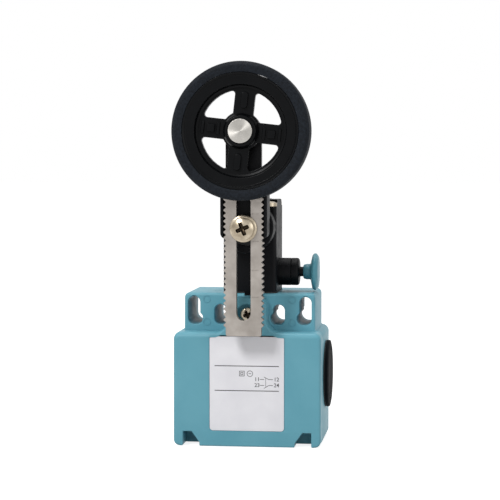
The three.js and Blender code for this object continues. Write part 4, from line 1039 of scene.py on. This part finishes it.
# %% Finishes of the remaining pieces
SLOT_FINISH = {
    "teal_paint": teal_paint, "black_paint": black_paint, "black_plastic": black_plastic,
    "pale_plastic": pale_plastic, "seal_rubber": seal_rubber, "tyre_rubber": tyre_rubber,
    "lever_steel": turned_steel, "nickel_steel": nickel, "spring_steel": spring_steel, "brass": brass,
    "silver_alloy": silver_alloy, "label_film": label_film,
}
node_slots = {part["node"]: part["material_slot"] for part in frame["record"]["subparts"]}
kept = [name for name, node in frame["nodes"].items() if not node.hide_render]
for name in kept:
    mesh = frame["nodes"][name].data
    mesh.materials.clear()
    mesh.materials.append(SLOT_FINISH[node_slots[name]])
print(len(kept), "pieces keep their frame shape")

# %% [markdown]
# The set is a pale floor under soft light. Seen by the camera, the floor and the world are nearly
# white, and the floor's own diffuse part keeps the object's shadow.

# %% Floor, world and lamps
floor_mesh = bpy.data.meshes.new("floor")
REACH = 6.0
floor_mesh.from_pydata([(-REACH, -REACH, 0), (REACH, -REACH, 0), (REACH, REACH, 0), (-REACH, REACH, 0)],
                       [], [(0, 1, 2, 3)])
floor = bpy.data.objects.new("floor", floor_mesh)
floor.location.z = -0.0002
bpy.context.scene.collection.objects.link(floor)


def seen_directly(tree):
    """1 for camera, glossy and transmission rays, else 0: the largest of the three."""
    path = add_node(tree, "ShaderNodeLightPath").outputs
    seen = path["Is Camera Ray"]
    for ray in ("Is Glossy Ray", "Is Transmission Ray"):
        seen = add_node(tree, "ShaderNodeMath", {0: seen, 1: path[ray]}, operation="MAXIMUM").outputs[0]
    return seen


def floor_material():
    material = bpy.data.materials.new("pale_floor")
    material.use_nodes = True
    tree = material.node_tree
    tree.nodes.clear()
    seen = seen_directly(tree)
    glow = add_node(tree, "ShaderNodeMath", {0: seen, 1: 0.84}, operation="MULTIPLY")
    emission = add_node(tree, "ShaderNodeEmission", {"Color": (1, 1, 1, 1), "Strength": glow.outputs[0]})
    diffuse = add_node(tree, "ShaderNodeBsdfDiffuse", {"Color": (0.5, 0.5, 0.5, 1)})
    total = add_node(tree, "ShaderNodeAddShader", {0: diffuse.outputs[0], 1: emission.outputs[0]})
    add_node(tree, "ShaderNodeOutputMaterial", {"Surface": total.outputs[0]})
    return material


floor_mesh.materials.append(floor_material())

world = bpy.data.worlds.new("studio")
bpy.context.scene.world = world
world.use_nodes = True
world.node_tree.nodes.clear()
tree = world.node_tree
plain = add_node(tree, "ShaderNodeBackground", {"Color": (1, 1, 1, 1), "Strength": 0.38})
white = add_node(tree, "ShaderNodeBackground", {"Color": (1, 1, 1, 1), "Strength": 1.0})
seen = seen_directly(tree)
choice = add_node(tree, "ShaderNodeMixShader", {0: seen, 1: plain.outputs[0],
                                                2: white.outputs[0]})
add_node(tree, "ShaderNodeOutputWorld", {"Surface": choice.outputs[0]})


def softbox(name, place, size, power, aim=(0, -0.02, 0.07)):
    """A square area lamp, size metres across, aimed at the middle of the switch."""
    data = bpy.data.lights.new(name, "AREA")
    data.size, data.energy = size, power
    lamp = bpy.data.objects.new(name, data)
    lamp.location = place
    lamp.rotation_euler = (Vector(place) - Vector(aim)).to_track_quat("Z", "Y").to_euler()
    bpy.context.scene.collection.objects.link(lamp)


softbox("key", (-0.35, -0.65, 0.6), 0.25, 4.3)
softbox("fill", (0.6, -0.5, 0.25), 0.4, 0.9)
softbox("top", (0.0, 0.1, 0.8), 0.4, 2.2)

scene = bpy.context.scene
scene.view_settings.view_transform = "Standard"
